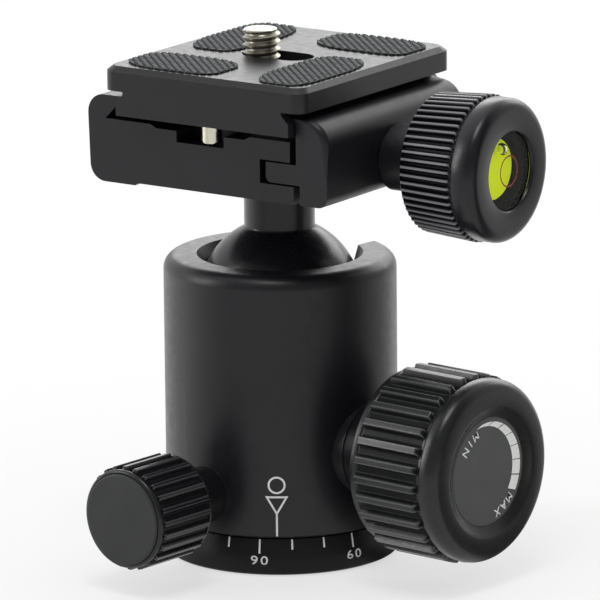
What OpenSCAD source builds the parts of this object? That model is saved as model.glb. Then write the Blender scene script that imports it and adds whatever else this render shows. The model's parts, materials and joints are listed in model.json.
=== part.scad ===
// Tripod ball head with a quick-release clamp.
// Millimetres. Z is the pan axis and points up. The origin is the centre of the underside,
// X points to the main lock knob, the pan lock knob faces -Y and the drop notch faces +Y.

/* [Pan base] */
// How far the plain band at the foot of the base stands out past the housing
band_out = 0.1; // [0:0.1:1]
// How far the dial cone is set in where it meets the housing
dial_in = 0.7; // [0.3:0.1:1.5]
// Height of the plain band
band_h = 2.3; // [1:0.1:4]
// Height of the base below the housing
base_h = 6.1; // [5:0.1:8]
// Diameter of the spigot that the housing turns on
spigot_d = 20; // [18:0.5:21]
// Height of the spigot above the base
spigot_h = 8.1; // [7.4:0.1:9]
// Wall radius of the 3/8 inch tripod thread
tripod_thread_r = 3.97; // [3.9:0.01:4.2]
// Depth of the tripod thread
tripod_thread_depth = 9; // [7:0.5:11]
// Outside diameter of the steel thread bushing
bushing_d = 14; // [12:0.5:16]
// Metal left above the blind end of the tripod thread
bushing_cap = 1; // [0.6:0.1:2]
// Thickness of the slippery washer under the housing
pan_washer_t = 0.25; // [0.15:0.05:0.4]
// Thickness of the snap ring that keeps the housing on the spigot
snap_ring_t = 0.9; // [0.6:0.1:1.2]
// Width of the snap ring, which hides in its groove while the spigot is pushed in
snap_ring_w = 1.6; // [1.2:0.1:1.6]
// How far the sprung-out snap ring stands out of the spigot
snap_ring_out = 1.2; // [0.8:0.1:1.2]

/* [Housing] */
// Wall of the housing round its bore
housing_wall = 4.2; // [3.5:0.1:6]
// Height of the rim above the ball's centre
rim_rise = 7.9; // [7:0.1:8.6]
// Rounding of the rim's outer edge
rim_round = 2.4; // [1:0.1:3]
// How much the mouth widens from the lip to the rim
mouth_flare = 1; // [0.5:0.1:2]
// Gap between the ball and the lip that keeps it in
lip_gap = 0.3; // [0.2:0.05:0.5]
// Height of the lip's edge above the ball's centre
lip_rise = 5.4; // [5.2:0.1:6]
// Width of the drop notch
notch_w = 14; // [13:0.2:16]
// Thickness of the flange that rests on the pan base
core_flange_t = 2.2; // [1.5:0.1:3]
// Metal left under and over the wedge's channel
core_web = 0.95; // [0.6:0.05:2]
// Seat of the lock bushings outside the housing
boss_out = 0.4; // [0.2:0.1:1]

/* [Ball] */
// Diameter of the ball
ball_d = 27.6; // [27:0.1:28]
// Diameter of the neck
neck_d = 11.9; // [10:0.1:12.4]
// Height of the clamp's seat above the ball's centre
neck_reach = 21.9; // [20.5:0.1:26]
// Diameter of the spigot on top of the neck
neck_spigot_d = 10; // [8:0.5:11]
// Height of the spigot on top of the neck
neck_spigot_h = 2; // [1:0.5:3]
// Thickness of the floating liner under the ball
liner_t = 0.85; // [0.6:0.05:0.9]
// Half angle that the liner wraps, from straight down
liner_wrap = 50; // [35:1:54]
// Thickness of the pressure cup beside the ball
cup_wall_t = 0.5; // [0.4:0.1:1]
// Thickness of the pressure cup under the ball
cup_floor = 2.3; // [1.6:0.1:4]
// Height of the pressure cup's wall above the inside of its floor
cup_wall_h = 6.4; // [4:0.1:7]

/* [Main lock] */
// Radius of the wedge pusher
pusher_r = 4.5; // [4.2:0.1:5]
// Length of the wedge pusher
pusher_len = 14; // [12:0.5:14]
// Rise of the wedge over its run
wedge_slope = 0.3333; // [0.2:0.01:0.4]
// Drop of the pressure cup when the lock is open
cup_travel = 0.3; // [0.2:0.05:0.5]
// Solid end of the wedge pusher, past the pan axis
pusher_solid = 1; // [0:0.5:2]
// Radius of the lock screw's thread in the pusher
main_thread_r = 3; // [2.5:0.1:3.1]
// Radius of the lock screw's shaft
main_shaft_r = 3.5; // [3.2:0.1:4]
// Radius of the lock screw's thrust collar
main_collar_r = 4.8; // [4.4:0.1:4.9]
// Radius of the lock bushing's visible flange
main_flange_r = 8; // [7:0.1:9]
// Length of the lock bushing's visible flange
main_flange_len = 6.6; // [4:0.1:8]
// Crest radius of the main knob
main_knob_r = 15.9; // [13:0.1:16]
// Length of the main knob
main_knob_len = 18.3; // [15:0.1:22]
// Radius of the main knob's smooth shoulder
main_shoulder_r = 15.3; // [12.5:0.1:15.4]
// Radius of the main knob's back flange
main_back_r = 15.5; // [12:0.1:15.8]
// Thickness of the main knob's back flange
main_back_t = 1.5; // [0.8:0.1:2.5]
// Flutes round the main knob
main_flutes = 30; // [20:1:40]
// Depth of the main knob's flutes
main_flute_depth = 1; // [0.5:0.1:1.4]
// Radius of the recess in the main knob's face
main_recess_r = 10.8; // [9:0.1:12]
// Depth of the recess in the main knob's face
main_recess_depth = 1.2; // [0.9:0.1:2]
// How far the wall of the recess slopes in
main_recess_slope = 1.6; // [0.4:0.1:2]
// Thickness of the dial in the recess
main_dial_t = 0.3; // [0.2:0.1:0.6]
// Radius of the bolt that holds the main knob on its screw
main_bolt_r = 2; // [1.5:0.1:2.4]
// Depth of the bolt's end behind the knob's face
main_bolt_len = 12; // [9:0.5:14]
// Radius of the bolt's head
main_head_r = 4.3; // [3.5:0.1:5]
// Thickness of the bolt's head
main_head_t = 1.7; // [1.2:0.1:2.5]
// Radius of the bolt's hex socket
main_key_r = 1.7; // [1:0.1:2]
// Knob left between the bolt's head and the end of the screw
main_web = 1.8; // [1:0.1:3]

/* [Pan lock] */
// Radius of the brake shoe
shoe_r = 2.6; // [2.2:0.1:2.8]
// Radius of the pan screw's thread in the shoe
pan_thread_r = 1.5; // [1.25:0.05:1.6]
// Radius of the pan screw's shaft
pan_shaft_r = 2.5; // [2:0.1:3]
// Radius of the pan screw's thrust collar
pan_collar_r = 3.6; // [3.2:0.1:3.8]
// Radius of the pan bushing's visible flange
pan_flange_r = 4.8; // [4.4:0.1:6]
// Length of the pan bushing's visible flange
pan_flange_len = 7.2; // [4:0.1:8]
// Crest radius of the pan knob
pan_knob_r = 8.8; // [7:0.1:10]
// Length of the pan knob
pan_knob_len = 13.4; // [11:0.1:16]
// Radius of the pan knob's back flange
pan_back_r = 8.3; // [6:0.1:8.5]
// Flutes round the pan knob
pan_flutes = 24; // [16:1:30]
// Depth of the pan knob's flutes
pan_flute_depth = 0.7; // [0.4:0.1:0.9]
// Radius of the pan knob's face cap
pan_cap_r = 7.6; // [6:0.1:7.8]
// Depth of the cap's seat in the pan knob
pan_cap_t = 0.7; // [0.5:0.1:1]
// Radius of the bolt that holds the pan knob on its screw
pan_bolt_r = 1.25; // [1:0.05:1.5]
// Depth of the bolt's end behind the knob's face
pan_bolt_len = 9; // [7:0.5:10]
// Radius of the bolt's head
pan_head_r = 2.7; // [2.2:0.1:3.2]
// Thickness of the bolt's head
pan_head_t = 1.7; // [1.2:0.1:2]
// Radius of the bolt's hex socket
pan_key_r = 1.1; // [0.8:0.1:1.3]
// Knob left between the bolt's head and the end of the screw
pan_web = 0.8; // [0.5:0.1:2]

/* [Clamp] */
// Turn of the clamp about its neck, from the main knob
clamp_turn = 6; // [0:1:45]
// Length of the clamp along the dovetail
clamp_len = 41.5; // [36:0.5:46]
// Half width of the clamp on the fixed side
body_out = 24.2; // [23:0.1:27]
// Half width of the clamp on the jaw side
jaw_out = 23.7; // [22.5:0.1:27]
// Height of the clamp from its seat to its lands
land_h = 10.4; // [10:0.1:13]
// Depth of the trough between the lands
trough_depth = 0.6; // [0.5:0.1:1.3]
// Half width of the trough
trough_w = 10; // [9:0.1:12]
// Height of each slope at the trough's sides, over its run
trough_slope = 0.5; // [0.3:0.05:1]
// How far the trough and the pockets lie toward the fixed side
trough_shift = 1.5; // [0:0.1:3]
// Depth of the foot ridge under the fixed jaw
foot_ridge = 0.4; // [0.2:0.1:0.8]
// Width of the pockets that the stop pins run in
pocket_w = 9.5; // [6:0.1:12]
// Depth of the pockets below the lands
pocket_depth = 2.5; // [2:0.1:3]
// Height of the clamp knob's axis above the seat
clamp_axis_h = 5.1; // [4.8:0.1:5.6]
// Height of the tongue that guides the jaw
tongue_h = 3.4; // [2.5:0.1:3.8]
// Length of the tongue
tongue_len = 6; // [4:0.1:7]
// Opening of the jaw from its clamped place
jaw_travel = 3.5; // [2:0.1:4]
// Gap between the fixed body and the jaw when clamped
jaw_gap = 1.2; // [0.6:0.1:1.6]
// Radius of the jaw's guide pins
guide_r = 1.5; // [1:0.1:1.6]
// Distance of each guide pin from the knob's axis
guide_offset = 13; // [9:0.5:15]
// Radius of the clamp screw
clamp_screw_r = 3; // [2.5:0.1:3.2]
// Radius of the collar between the jaw and the knob
clamp_collar_r = 5.6; // [4.6:0.1:6.5]
// Length of the collar between the jaw and the knob
clamp_collar_len = 7.8; // [4:0.1:10]
// Crest radius of the clamp knob
clamp_knob_r = 12.3; // [10.5:0.1:13]
// Length of the clamp knob
clamp_knob_len = 14.6; // [13.5:0.1:18]
// Length of the clamp knob's ribs
clamp_rib_len = 9.6; // [7:0.1:10]
// Ribs round the clamp knob
clamp_ribs = 56; // [40:1:60]
// Depth of the grooves between the ribs
clamp_rib_depth = 0.7; // [0.3:0.1:0.9]
// Radius of the hex head that turns the clamp screw with its knob
clamp_head_r = 5; // [4:0.1:6]
// Thickness of the clamp screw's hex head
clamp_head_t = 3.6; // [2.5:0.1:4]
// Thickness of the clip that ties the screw to the jaw
clip_t = 0.8; // [0.6:0.1:1]
// How far the clip stands out of the screw
clip_out = 1.1; // [0.8:0.1:1.4]
// Radius of the platform screw's shank
platform_screw_r = 3; // [2.5:0.1:3.2]
// Radius of the platform screw's head
platform_head_r = 5; // [4.2:0.1:5.2]

/* [Level] */
// Radius of the round level's window
window_r = 6.6; // [5.5:0.1:7]
// Thickness of the level's window
window_t = 1; // [0.6:0.1:1.4]
// Depth of the level's liquid
fluid_depth = 2.9; // [2.3:0.1:3.2]
// Wall of the level's cup
level_wall = 1.5; // [0.8:0.1:1.7]
// Floor of the level's cup
level_floor = 0.6; // [0.4:0.1:1]
// Radius of the air bubble
bubble_r = 1; // [0.7:0.1:1.1]
// Radius of the ring on the window
ring_r = 2.6; // [2:0.1:3.2]

/* [Plate] */
// Width of the plate across the dovetail
plate_w = 40; // [38:0.5:46]
// Length of the plate along the dovetail
plate_l = 45; // [44:0.5:60]
// Thickness of the plate's slab
slab_t = 4.15; // [3.5:0.05:6]
// Chamfer round the slab's top edge
slab_chamfer = 0.8; // [0.3:0.1:1.2]
// Corner radius of the slab
slab_corner = 2.2; // [1:0.1:4]
// Half width of the dovetail at its foot
dovetail_w = 17.3; // [16.5:0.1:17.6]
// Height of the dovetail's upright foot
dovetail_foot = 2.2; // [1.5:0.1:3]
// Height of the dovetail's 45 degree flank
dovetail_flank = 1.4; // [1:0.1:2]
// Gap between the clamp's lands and the plate
plate_float = 1.1; // [0.4:0.1:1.4]
// Size across the dovetail of the two long pads
long_pad_w = 11.2; // [8:0.2:12.4]
// Size along the dovetail of the two long pads
long_pad_l = 24; // [16:0.2:26]
// Size across the dovetail of the two short pads
short_pad_w = 19.4; // [14:0.2:21]
// Size along the dovetail of the two short pads
short_pad_l = 12.2; // [8:0.2:14]
// Share of a pad's half sides that its two swept corners take
pad_sweep = 0.85; // [0.5:0.05:0.95]
// Share of a pad's half sides that its two tighter corners take
pad_tip = 0.45; // [0.2:0.05:0.6]
// Thickness of each rubber pad
pad_t = 0.8; // [0.5:0.1:1.2]
// How far the pads stand out of the slab
pad_proud = 0.35; // [0.2:0.05:0.5]
// Edge of the slab left outside the pads
pad_edge = 1.5; // [1.2:0.1:3]
// Length of the camera screw's sideways travel
screw_travel = 6.6; // [3:0.2:8]
// Radius of the 1/4 inch camera thread
camera_thread_r = 3.175; // [3:0.005:3.2]
// Height of the camera thread above the slab
camera_thread_h = 4.2; // [3.5:0.1:6]
// Radius of the camera screw's head
camera_head_r = 5.6; // [5:0.1:6]
// Radius of the stop pins
stop_pin_r = 1.45; // [1:0.05:1.8]
// Distance of each stop pin from the plate's end
stop_pin_edge = 3.1; // [2.5:0.1:4]

/* [Fits] */
// Radial clearance of shafts and slides that move
run_fit = 0.05; // [0.03:0.01:0.08]
// Radial clearance of pieces fixed to each other
seat_fit = 0.02; // [0.01:0.01:0.03]
// Gap between pieces that pass without touching
pass_gap = 0.3; // [0.2:0.05:0.4]

/* [Hidden] */
$fn = 96;
tiny = 0.01;

// Heights, stacked from the underside up
housing_z = base_h + pan_washer_t + run_fit;
well_z = housing_z + core_flange_t;
snap_z = well_z + pass_gap - run_fit;
spigot_top = base_h + spigot_h;
well_top = spigot_top + pass_gap;
pan_z = snap_z + snap_ring_t + pass_gap + shoe_r + run_fit + pass_gap;
main_z = well_top + core_web + pusher_r + run_fit;
core_top = main_z + pusher_r + run_fit + core_web;
cup_z = core_top + cup_travel + 2 * run_fit;
ball_r = ball_d / 2;
liner_in = ball_r + run_fit;
liner_out = liner_in + liner_t;
cup_r = liner_out + 2 * run_fit;
cup_out = cup_r + cup_wall_t;
ball_z = cup_z + cup_floor + cup_r;
rim_z = ball_z + rim_rise;
seat_z = ball_z + neck_reach;
land_z = seat_z + land_h;
trough_z = land_z - trough_depth;
trough_run = trough_depth / trough_slope;
plate_z = land_z + plate_float;
flank_z = plate_z + dovetail_foot;
slab_z = flank_z + dovetail_flank + pass_gap + 0.2;
top_z = slab_z + slab_t;
clamp_axis_z = seat_z + clamp_axis_h;

// Radii round the ball and stations along the lock knobs, from the pan axis out
bore_r = cup_out + 2 * run_fit;
housing_r = bore_r + housing_wall;
base_r = housing_r + band_out;
dial_top_r = housing_r - dial_in;
lip_r = sqrt(ball_r * ball_r - lip_rise * lip_rise) + lip_gap;
reach = 2 * housing_r;
core_r = bore_r - run_fit;
boss_r = housing_r + boss_out;
pusher_out = pusher_len * 0.6;
pusher_travel = cup_travel / wedge_slope;
main_collar_in = pusher_out + pusher_travel + 4 * run_fit;
main_collar_t = 1.9;
main_bush_in = main_collar_in + main_collar_t + 2 * run_fit;
main_back = boss_r + main_flange_len + 2 * pass_gap;
main_face = main_back + main_knob_len;
main_disc_r = main_recess_r - main_recess_slope;
main_head_z = main_face - main_recess_depth - pass_gap;
main_screw_end = main_head_z - main_head_t - main_web;
pan_collar_in = bore_r + run_fit;
pan_collar_t = 1.1;
pan_bush_in = pan_collar_in + pan_collar_t + 2 * run_fit;
pan_back = boss_r + pan_flange_len + pass_gap;
pan_face = pan_back + pan_knob_len;
pan_head_z = pan_face - pan_cap_t - 0.2;
pan_screw_end = pan_head_z - pan_head_t - pan_web;
shoe_in = spigot_d / 2 + run_fit;
shoe_out = bore_r - 0.8;

// The clamp's cross-section, from the neck's axis out
flank_gap = 2 * run_fit;
grip_line = dovetail_w + flank_z + flank_gap;
lip_z = slab_z - 4 * pass_gap;
jaw_face = dovetail_w + pass_gap;
body_face = jaw_face - jaw_gap;
lower_step = 0.7;
tongue_z = clamp_axis_z - tongue_h / 2 - pass_gap / 2;
tongue_in = jaw_face - tongue_len;
knob_back = jaw_out + clamp_collar_len + run_fit;
knob_face = knob_back + clamp_knob_len;
clip_at = jaw_out + seat_fit + run_fit;
pocket_z = land_z - pocket_depth;
stop_pin_y = plate_l / 2 - stop_pin_edge;
pocket_in = stop_pin_y - stop_pin_r - 2 - pass_gap;
level_z = knob_face - 0.5;
slot_half_w = camera_thread_r + 0.15;

// Points of an arc, for outlines
function arc(x, y, r, from, to, steps) =
    [for (i = [0 : steps]) let (a = from + (to - from) * i / steps) [x + r * cos(a), y + r * sin(a)]];

// Outline of a fluted grip: flat crests with hollow grooves between them
function flutes(count, crest, depth) = [
    for (i = [0 : count - 1], p = [[0, 0], [0.25, 0], [0.5, 0], [0.6, 0.75], [0.75, 1], [0.9, 0.75]])
        let (a = 360 * (i + p[0]) / count, r = crest - depth * p[1]) [r * cos(a), r * sin(a)]];

// Rounded rectangle centred on the origin
function rounded(w, l, r) = concat(
    arc(w / 2 - r, l / 2 - r, r, 0, 90, 8), arc(r - w / 2, l / 2 - r, r, 90, 180, 8),
    arc(r - w / 2, r - l / 2, r, 180, 270, 8), arc(w / 2 - r, r - l / 2, r, 270, 360, 8));

// Leaf outline of a pad: two swept corners opposite each other and two tighter ones
function leaf(w, l) = [for (q = [0 : 3], i = [0 : 12])
    let (a = 90 * q + 7.5 * i, p = q % 2 == 0 ? pad_sweep : pad_tip)
    let (x = q == 0 || q == 3 ? 1 : -1, y = q < 2 ? 1 : -1)
    [(x * (1 - p) + p * cos(a)) * w / 2, (y * (1 - p) + p * sin(a)) * l / 2]];

// Places: the main lock's axis along X, the pan lock's along -Y, the clamp's along its own X
module main_axis() { translate([0, 0, main_z]) rotate([0, 90, 0]) children(); }
module pan_axis() { translate([0, 0, pan_z]) rotate([90, 0, 0]) children(); }
module on_clamp() { rotate([0, 0, clamp_turn]) children(); }
module clamp_axis() { on_clamp() translate([0, 0, clamp_axis_z]) rotate([0, 90, 0]) children(); }
module along_dovetail(length) {
    on_clamp() translate([0, length / 2, 0]) rotate([90, 0, 0]) linear_extrude(length) children();
}

// A rod or bore between two stations on the current axis
module rod(r, from, to) { translate([0, 0, from]) cylinder(r = r, h = to - from); }
module tube(outer, inner, from, to) {
    difference() {
        rod(outer, from, to);
        rod(inner, from - 1, to + 1);
    }
}

// ---- Pan base ----

module pan_base() {
    color("#1b1b1d") difference() {
        union() {
            rotate_extrude() polygon([[0, 0], [base_r - 0.3, 0], [base_r, 0.3], [base_r, band_h],
                [dial_top_r, base_h], [0, base_h]]);
            rod(spigot_d / 2, base_h - 1, spigot_top);
        }
        rod(bushing_d / 2 + seat_fit, -1, tripod_thread_depth + bushing_cap);
        tube(spigot_d, spigot_d / 2 - snap_ring_w - 0.1, snap_z - seat_fit, snap_z + snap_ring_t + seat_fit);
    }
}

module tripod_bushing() {
    color("#b9bbbd") difference() {
        rod(bushing_d / 2, 0, tripod_thread_depth + bushing_cap - seat_fit);
        rod(tripod_thread_r, -1, tripod_thread_depth);
    }
}

module pan_washer() {
    color("#2a2a2c") tube(dial_top_r - 1, spigot_d / 2 + seat_fit, base_h, base_h + pan_washer_t);
}

module snap_ring() {
    ring_out = spigot_d / 2 + snap_ring_out;
    color("#8d8f92") difference() {
        tube(ring_out, ring_out - snap_ring_w, snap_z, snap_z + snap_ring_t);
        translate([-spigot_d, -1.5, snap_z - 1]) cube([spigot_d, 3, snap_ring_t + 2]);
    }
}

// ---- Housing ----

// Space that the neck swings through, seen along Y
module notch(grow) {
    translate([0, 4, ball_z]) rotate([-90, 0, 0]) linear_extrude(reach) {
        circle(r = notch_w / 2 + grow);
        translate([-notch_w / 2 - grow, -rim_rise - 5]) square([notch_w + 2 * grow, rim_rise + 5]);
    }
}

module housing() {
    color("#1c1c1e") difference() {
        union() {
            rotate_extrude() polygon(concat([[0, housing_z], [housing_r - 0.3, housing_z],
                [housing_r, housing_z + 0.3]],
                arc(housing_r - rim_round, rim_z - rim_round, rim_round, 0, 90, 8), [[0, rim_z]]));
            main_axis() rod(main_flange_r, bore_r, boss_r);
            pan_axis() rod(pan_flange_r, bore_r, boss_r);
        }
        rod(bore_r, housing_z - 1, ball_z + lip_rise - 0.35);
        translate([0, 0, ball_z + lip_rise - 1]) cylinder(r = lip_r, h = 2);
        translate([0, 0, ball_z + lip_rise])
            cylinder(r1 = lip_r, r2 = lip_r + mouth_flare, h = rim_rise - lip_rise + tiny);
        notch(0);
        main_axis() rod(main_collar_r + 0.4, 0, boss_r + 1);
        pan_axis() rod(pan_collar_r + 0.4, 0, boss_r + 1);
    }
}

module core_block() {
    color("#6f7073") difference() {
        rod(core_r, housing_z, core_top);
        rod(spigot_d / 2 + run_fit, housing_z - 1, well_z + 1);
        rod(spigot_d / 2 + snap_ring_out + 2 * pass_gap, well_z, well_top);
        main_axis() rod(pusher_r + run_fit, pusher_out - pusher_len - pass_gap, reach);
        main_axis() rod(main_collar_r + 0.4, main_collar_in - run_fit, reach);
        rod(pusher_r - 0.4 + run_fit, main_z, core_top + 1);
        pan_axis() rod(shoe_r + run_fit, spigot_d / 2, reach);
    }
}

module upper_race() {
    low = 0.5;
    high = lip_rise - 0.35 - run_fit;
    r = ball_r + run_fit;
    color("#d8d6cf") difference() {
        translate([0, 0, ball_z]) rotate_extrude() polygon(concat(
            arc(0, 0, r, asin(low / r), asin(high / r), 8), [[bore_r - seat_fit, high], [bore_r - seat_fit, low]]));
        notch(pass_gap);
    }
}

module main_bushing() {
    color("#232325") main_axis() difference() {
        union() {
            rod(main_collar_r + 0.4 - seat_fit, main_bush_in, boss_r + 1);
            rod(main_flange_r, boss_r + seat_fit, boss_r + main_flange_len);
        }
        rod(main_shaft_r + run_fit, 0, main_face);
    }
}

module pan_bushing() {
    color("#232325") pan_axis() difference() {
        union() {
            rod(pan_collar_r + 0.4 - seat_fit, pan_bush_in, boss_r + 1);
            rod(pan_flange_r, boss_r + seat_fit, boss_r + pan_flange_len);
        }
        rod(pan_shaft_r + run_fit, 0, pan_face);
    }
}

// ---- Main lock ----

// Everything above the wedge's ramp, lifted by a gap
module above_ramp(gap) {
    translate([0, 0, main_z + pusher_r * 0.7 + gap]) rotate([0, -atan(wedge_slope), 0])
        translate([-reach / 2, -reach / 2, 0]) cube([reach, reach, reach]);
}

module pressure_cup() {
    color("#a58a54") difference() {
        union() {
            rod(cup_out, cup_z, cup_z + cup_floor + cup_wall_h);
            intersection() {
                rod(pusher_r - 0.4, main_z, cup_z + 1);
                above_ramp(run_fit);
            }
        }
        translate([0, 0, ball_z]) sphere(r = cup_r);
    }
}

module wedge_pusher() {
    color("#9b9da0") difference() {
        main_axis() rod(pusher_r, pusher_out - pusher_len, pusher_out);
        main_axis() rod(main_thread_r + run_fit, pusher_solid, reach);
        above_ramp(0);
    }
}

module main_screw() {
    color("#b4b6b8") main_axis() difference() {
        union() {
            rod(main_thread_r, pusher_solid + pusher_travel + 0.2, main_collar_in + 1);
            rod(main_collar_r, main_collar_in, main_collar_in + main_collar_t);
            rod(main_shaft_r, main_collar_in + 1, main_screw_end);
        }
        rod(main_bolt_r + seat_fit, main_face - main_bolt_len - main_bolt_r / 2, main_face);
    }
}

// A knob's revolved side, from its back face to its front face
function knob_side(back, face, back_r, shoulder_r, ring_t, grip_to, edge) = concat(
    [[0, back], [back_r - 0.3, back], [back_r, back + 0.3], [back_r, back + ring_t],
    [shoulder_r - 0.6, back + ring_t], [shoulder_r - 0.6, grip_to], [shoulder_r, grip_to + 0.4]],
    arc(shoulder_r - edge, face - edge, edge, 0, 90, 8), [[0, face]]);

module main_knob() {
    grip_to = main_back + 14.2 * main_knob_len / 18.3;
    color("#202022") main_axis() difference() {
        union() {
            rotate_extrude() polygon(
                knob_side(main_back, main_face, main_back_r, main_shoulder_r, main_back_t, grip_to, 2.6));
            translate([0, 0, main_back + main_back_t]) linear_extrude(grip_to - main_back - main_back_t)
                polygon(flutes(main_flutes, main_knob_r, main_flute_depth));
        }
        rod(main_shaft_r + seat_fit, 0, main_screw_end + seat_fit);
        rod(main_bolt_r + seat_fit, 0, main_face);
        rod(main_head_r + 2 * run_fit, main_head_z - main_head_t, main_face);
        translate([0, 0, main_face - main_recess_depth])
            cylinder(r1 = main_disc_r, r2 = main_recess_r, h = main_recess_depth + tiny);
    }
}

module main_knob_screw() {
    color("#a9abad") main_axis() difference() {
        union() {
            rod(main_bolt_r, main_face - main_bolt_len, main_head_z - 0.5);
            rod(main_head_r, main_head_z - main_head_t + seat_fit, main_head_z);
        }
        translate([0, 0, main_head_z - main_head_t * 0.7]) cylinder(r = main_key_r, h = main_head_t, $fn = 6);
    }
}

module main_dial() {
    color("#303033") main_axis()
        rod(main_disc_r - seat_fit, main_face - main_recess_depth, main_face - main_recess_depth + main_dial_t);
}

// ---- Pan lock ----

module pan_shoe() {
    color("#a58a54") pan_axis() difference() {
        rod(shoe_r, shoe_in, shoe_out);
        rod(pan_thread_r + run_fit, shoe_in + 1.2, reach);
    }
}

module pan_screw() {
    color("#b4b6b8") pan_axis() difference() {
        union() {
            rod(pan_thread_r, shoe_in + 1.6, pan_collar_in + 0.5);
            rod(pan_collar_r, pan_collar_in, pan_collar_in + pan_collar_t);
            rod(pan_shaft_r, pan_collar_in + 0.5, pan_screw_end);
        }
        rod(pan_bolt_r + seat_fit, pan_face - pan_bolt_len - 0.8 * pan_bolt_r, pan_face);
    }
}

module pan_knob() {
    grip_to = pan_face - 1.6;
    color("#202022") pan_axis() difference() {
        union() {
            rotate_extrude() polygon(
                knob_side(pan_back, pan_face, pan_back_r, pan_cap_r + 0.75, 0.7, grip_to, 0.5));
            translate([0, 0, pan_back + 0.7]) linear_extrude(grip_to - pan_back - 0.7)
                polygon(flutes(pan_flutes, pan_knob_r, pan_flute_depth));
        }
        rod(pan_shaft_r + seat_fit, 0, pan_screw_end + seat_fit);
        rod(pan_bolt_r + seat_fit, 0, pan_face);
        rod(pan_head_r + 2 * run_fit, pan_head_z - pan_head_t, pan_face);
        rod(pan_cap_r + seat_fit, pan_face - pan_cap_t, pan_face + 1);
    }
}

module pan_knob_screw() {
    color("#a9abad") pan_axis() difference() {
        union() {
            rod(pan_bolt_r, pan_face - pan_bolt_len, pan_head_z - 0.5);
            rod(pan_head_r, pan_head_z - pan_head_t + seat_fit, pan_head_z);
        }
        translate([0, 0, pan_head_z - pan_head_t * 0.65]) cylinder(r = pan_key_r, h = pan_head_t, $fn = 6);
    }
}

module pan_cap() {
    color("#343437") pan_axis() rod(pan_cap_r, pan_face - pan_cap_t, pan_face + 0.1);
}

// ---- Ball ----

module ball_liner() {
    color("#e4e2dc") translate([0, 0, ball_z]) rotate_extrude() polygon(concat(
        arc(0, 0, liner_out, -90, liner_wrap - 90, 12), arc(0, 0, liner_in, liner_wrap - 90, -90, 12)));
}

module ball() {
    color("#17171a") difference() {
        union() {
            translate([0, 0, ball_z]) sphere(r = ball_r);
            rod(neck_d / 2, ball_z + ball_r / 2, seat_z);
            rod(neck_spigot_d / 2, seat_z - 1, seat_z + neck_spigot_h);
        }
        rod(platform_screw_r + run_fit, ball_z + ball_r - 2, seat_z + 10);
    }
}

// ---- Clamp ----

// Cross-section of the fixed body: foot, gap faces, tongue groove, lands, trough and lip
function body_section() = concat(
    [[body_face + lower_step, seat_z], [body_face + lower_step, tongue_z - pass_gap],
    [tongue_in - jaw_gap, tongue_z - pass_gap], [tongue_in - jaw_gap, tongue_z + tongue_h + pass_gap],
    [body_face, tongue_z + tongue_h + pass_gap], [body_face, land_z],
    [trough_w - trough_shift, land_z], [trough_w - trough_shift - trough_run, trough_z],
    [trough_run - trough_w - trough_shift, trough_z], [-trough_w - trough_shift, land_z],
    [land_z - grip_line, land_z], [lip_z - grip_line, lip_z]],
    arc(3.2 - body_out, lip_z - 3.2, 3.2, 90, 180, 8),
    arc(3.3 - body_out, seat_z + 3 - foot_ridge, 3, 180, 270, 8),
    [[-14.8, seat_z - foot_ridge], [-14.2, seat_z]]);

module clamp_body() {
    color("#1e1e20") difference() {
        along_dovetail(clamp_len) polygon(body_section());
        on_clamp() for (side = [-1, 1])
            translate([-pocket_w / 2 - trough_shift, side > 0 ? pocket_in : -pocket_in - clamp_len, pocket_z])
                cube([pocket_w, clamp_len, land_h]);
        on_clamp() rod(neck_spigot_d / 2 + run_fit, seat_z - 1, seat_z + neck_spigot_h + run_fit);
        on_clamp() rod(platform_screw_r + seat_fit, seat_z, land_z);
        on_clamp() rod(platform_head_r + 0.2, trough_z - 3.6, land_z);
        clamp_axis() rod(clamp_screw_r + run_fit, platform_head_r + 1.4, jaw_out);
        for (side = [-1, 1])
            clamp_axis() translate([0, side * guide_offset, 0]) rod(guide_r + run_fit, 1, jaw_out);
    }
}

module platform_screw() {
    head_z = trough_z - 3.6 + seat_fit;
    color("#8d8f92") on_clamp() difference() {
        union() {
            rod(platform_screw_r, ball_z + ball_r - 1, head_z + 1);
            rod(platform_head_r, head_z, trough_z - 0.3);
        }
        translate([0, 0, head_z + 1.2]) cylinder(r = 2.3, h = 5, $fn = 6);
    }
}

// Cross-section of the jaw: tongue, hooked tip and rounded back
function jaw_section() = concat(
    [[jaw_face + lower_step, seat_z]],
    arc(jaw_out - 1.8, seat_z + 1.8, 1.8, 270, 360, 6),
    arc(jaw_out - 4.2, lip_z - 4.2, 4.2, 0, 90, 8),
    [[grip_line - lip_z, lip_z], [jaw_face + flank_gap / 3, grip_line - jaw_face - flank_gap / 3],
    [jaw_face, tongue_z + tongue_h], [tongue_in, tongue_z + tongue_h]],
    arc(tongue_in + 1, tongue_z + 1, 1, 180, 270, 4),
    [[jaw_face + lower_step, tongue_z]]);

module moving_jaw() {
    color("#1e1e20") difference() {
        along_dovetail(clamp_len) polygon(jaw_section());
        clamp_axis() rod(clamp_screw_r + run_fit, tongue_in - 1, jaw_out + 1);
        for (side = [-1, 1])
            clamp_axis() translate([0, side * guide_offset, 0]) rod(guide_r + seat_fit, tongue_in - 1, jaw_out - 2.5);
    }
}

module guide_pins() {
    color("#b4b6b8") for (side = [-1, 1])
        clamp_axis() translate([0, side * guide_offset, 0]) rod(guide_r, tongue_in - 7, jaw_out - 2.5 - seat_fit);
}

module clamp_collar() {
    color("#19191b") clamp_axis() difference() {
        tube(clamp_collar_r, clamp_screw_r + run_fit, jaw_out + seat_fit, jaw_out + clamp_collar_len);
        rod(clamp_screw_r + clip_out + run_fit, jaw_out, jaw_out + clip_t + 3 * run_fit);
    }
}

// Back of the level's cup, which the clamp screw's head stops short of
level_back = level_z - window_t - fluid_depth - level_floor;
clamp_head_z = level_back - clamp_head_t - 0.4;

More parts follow.
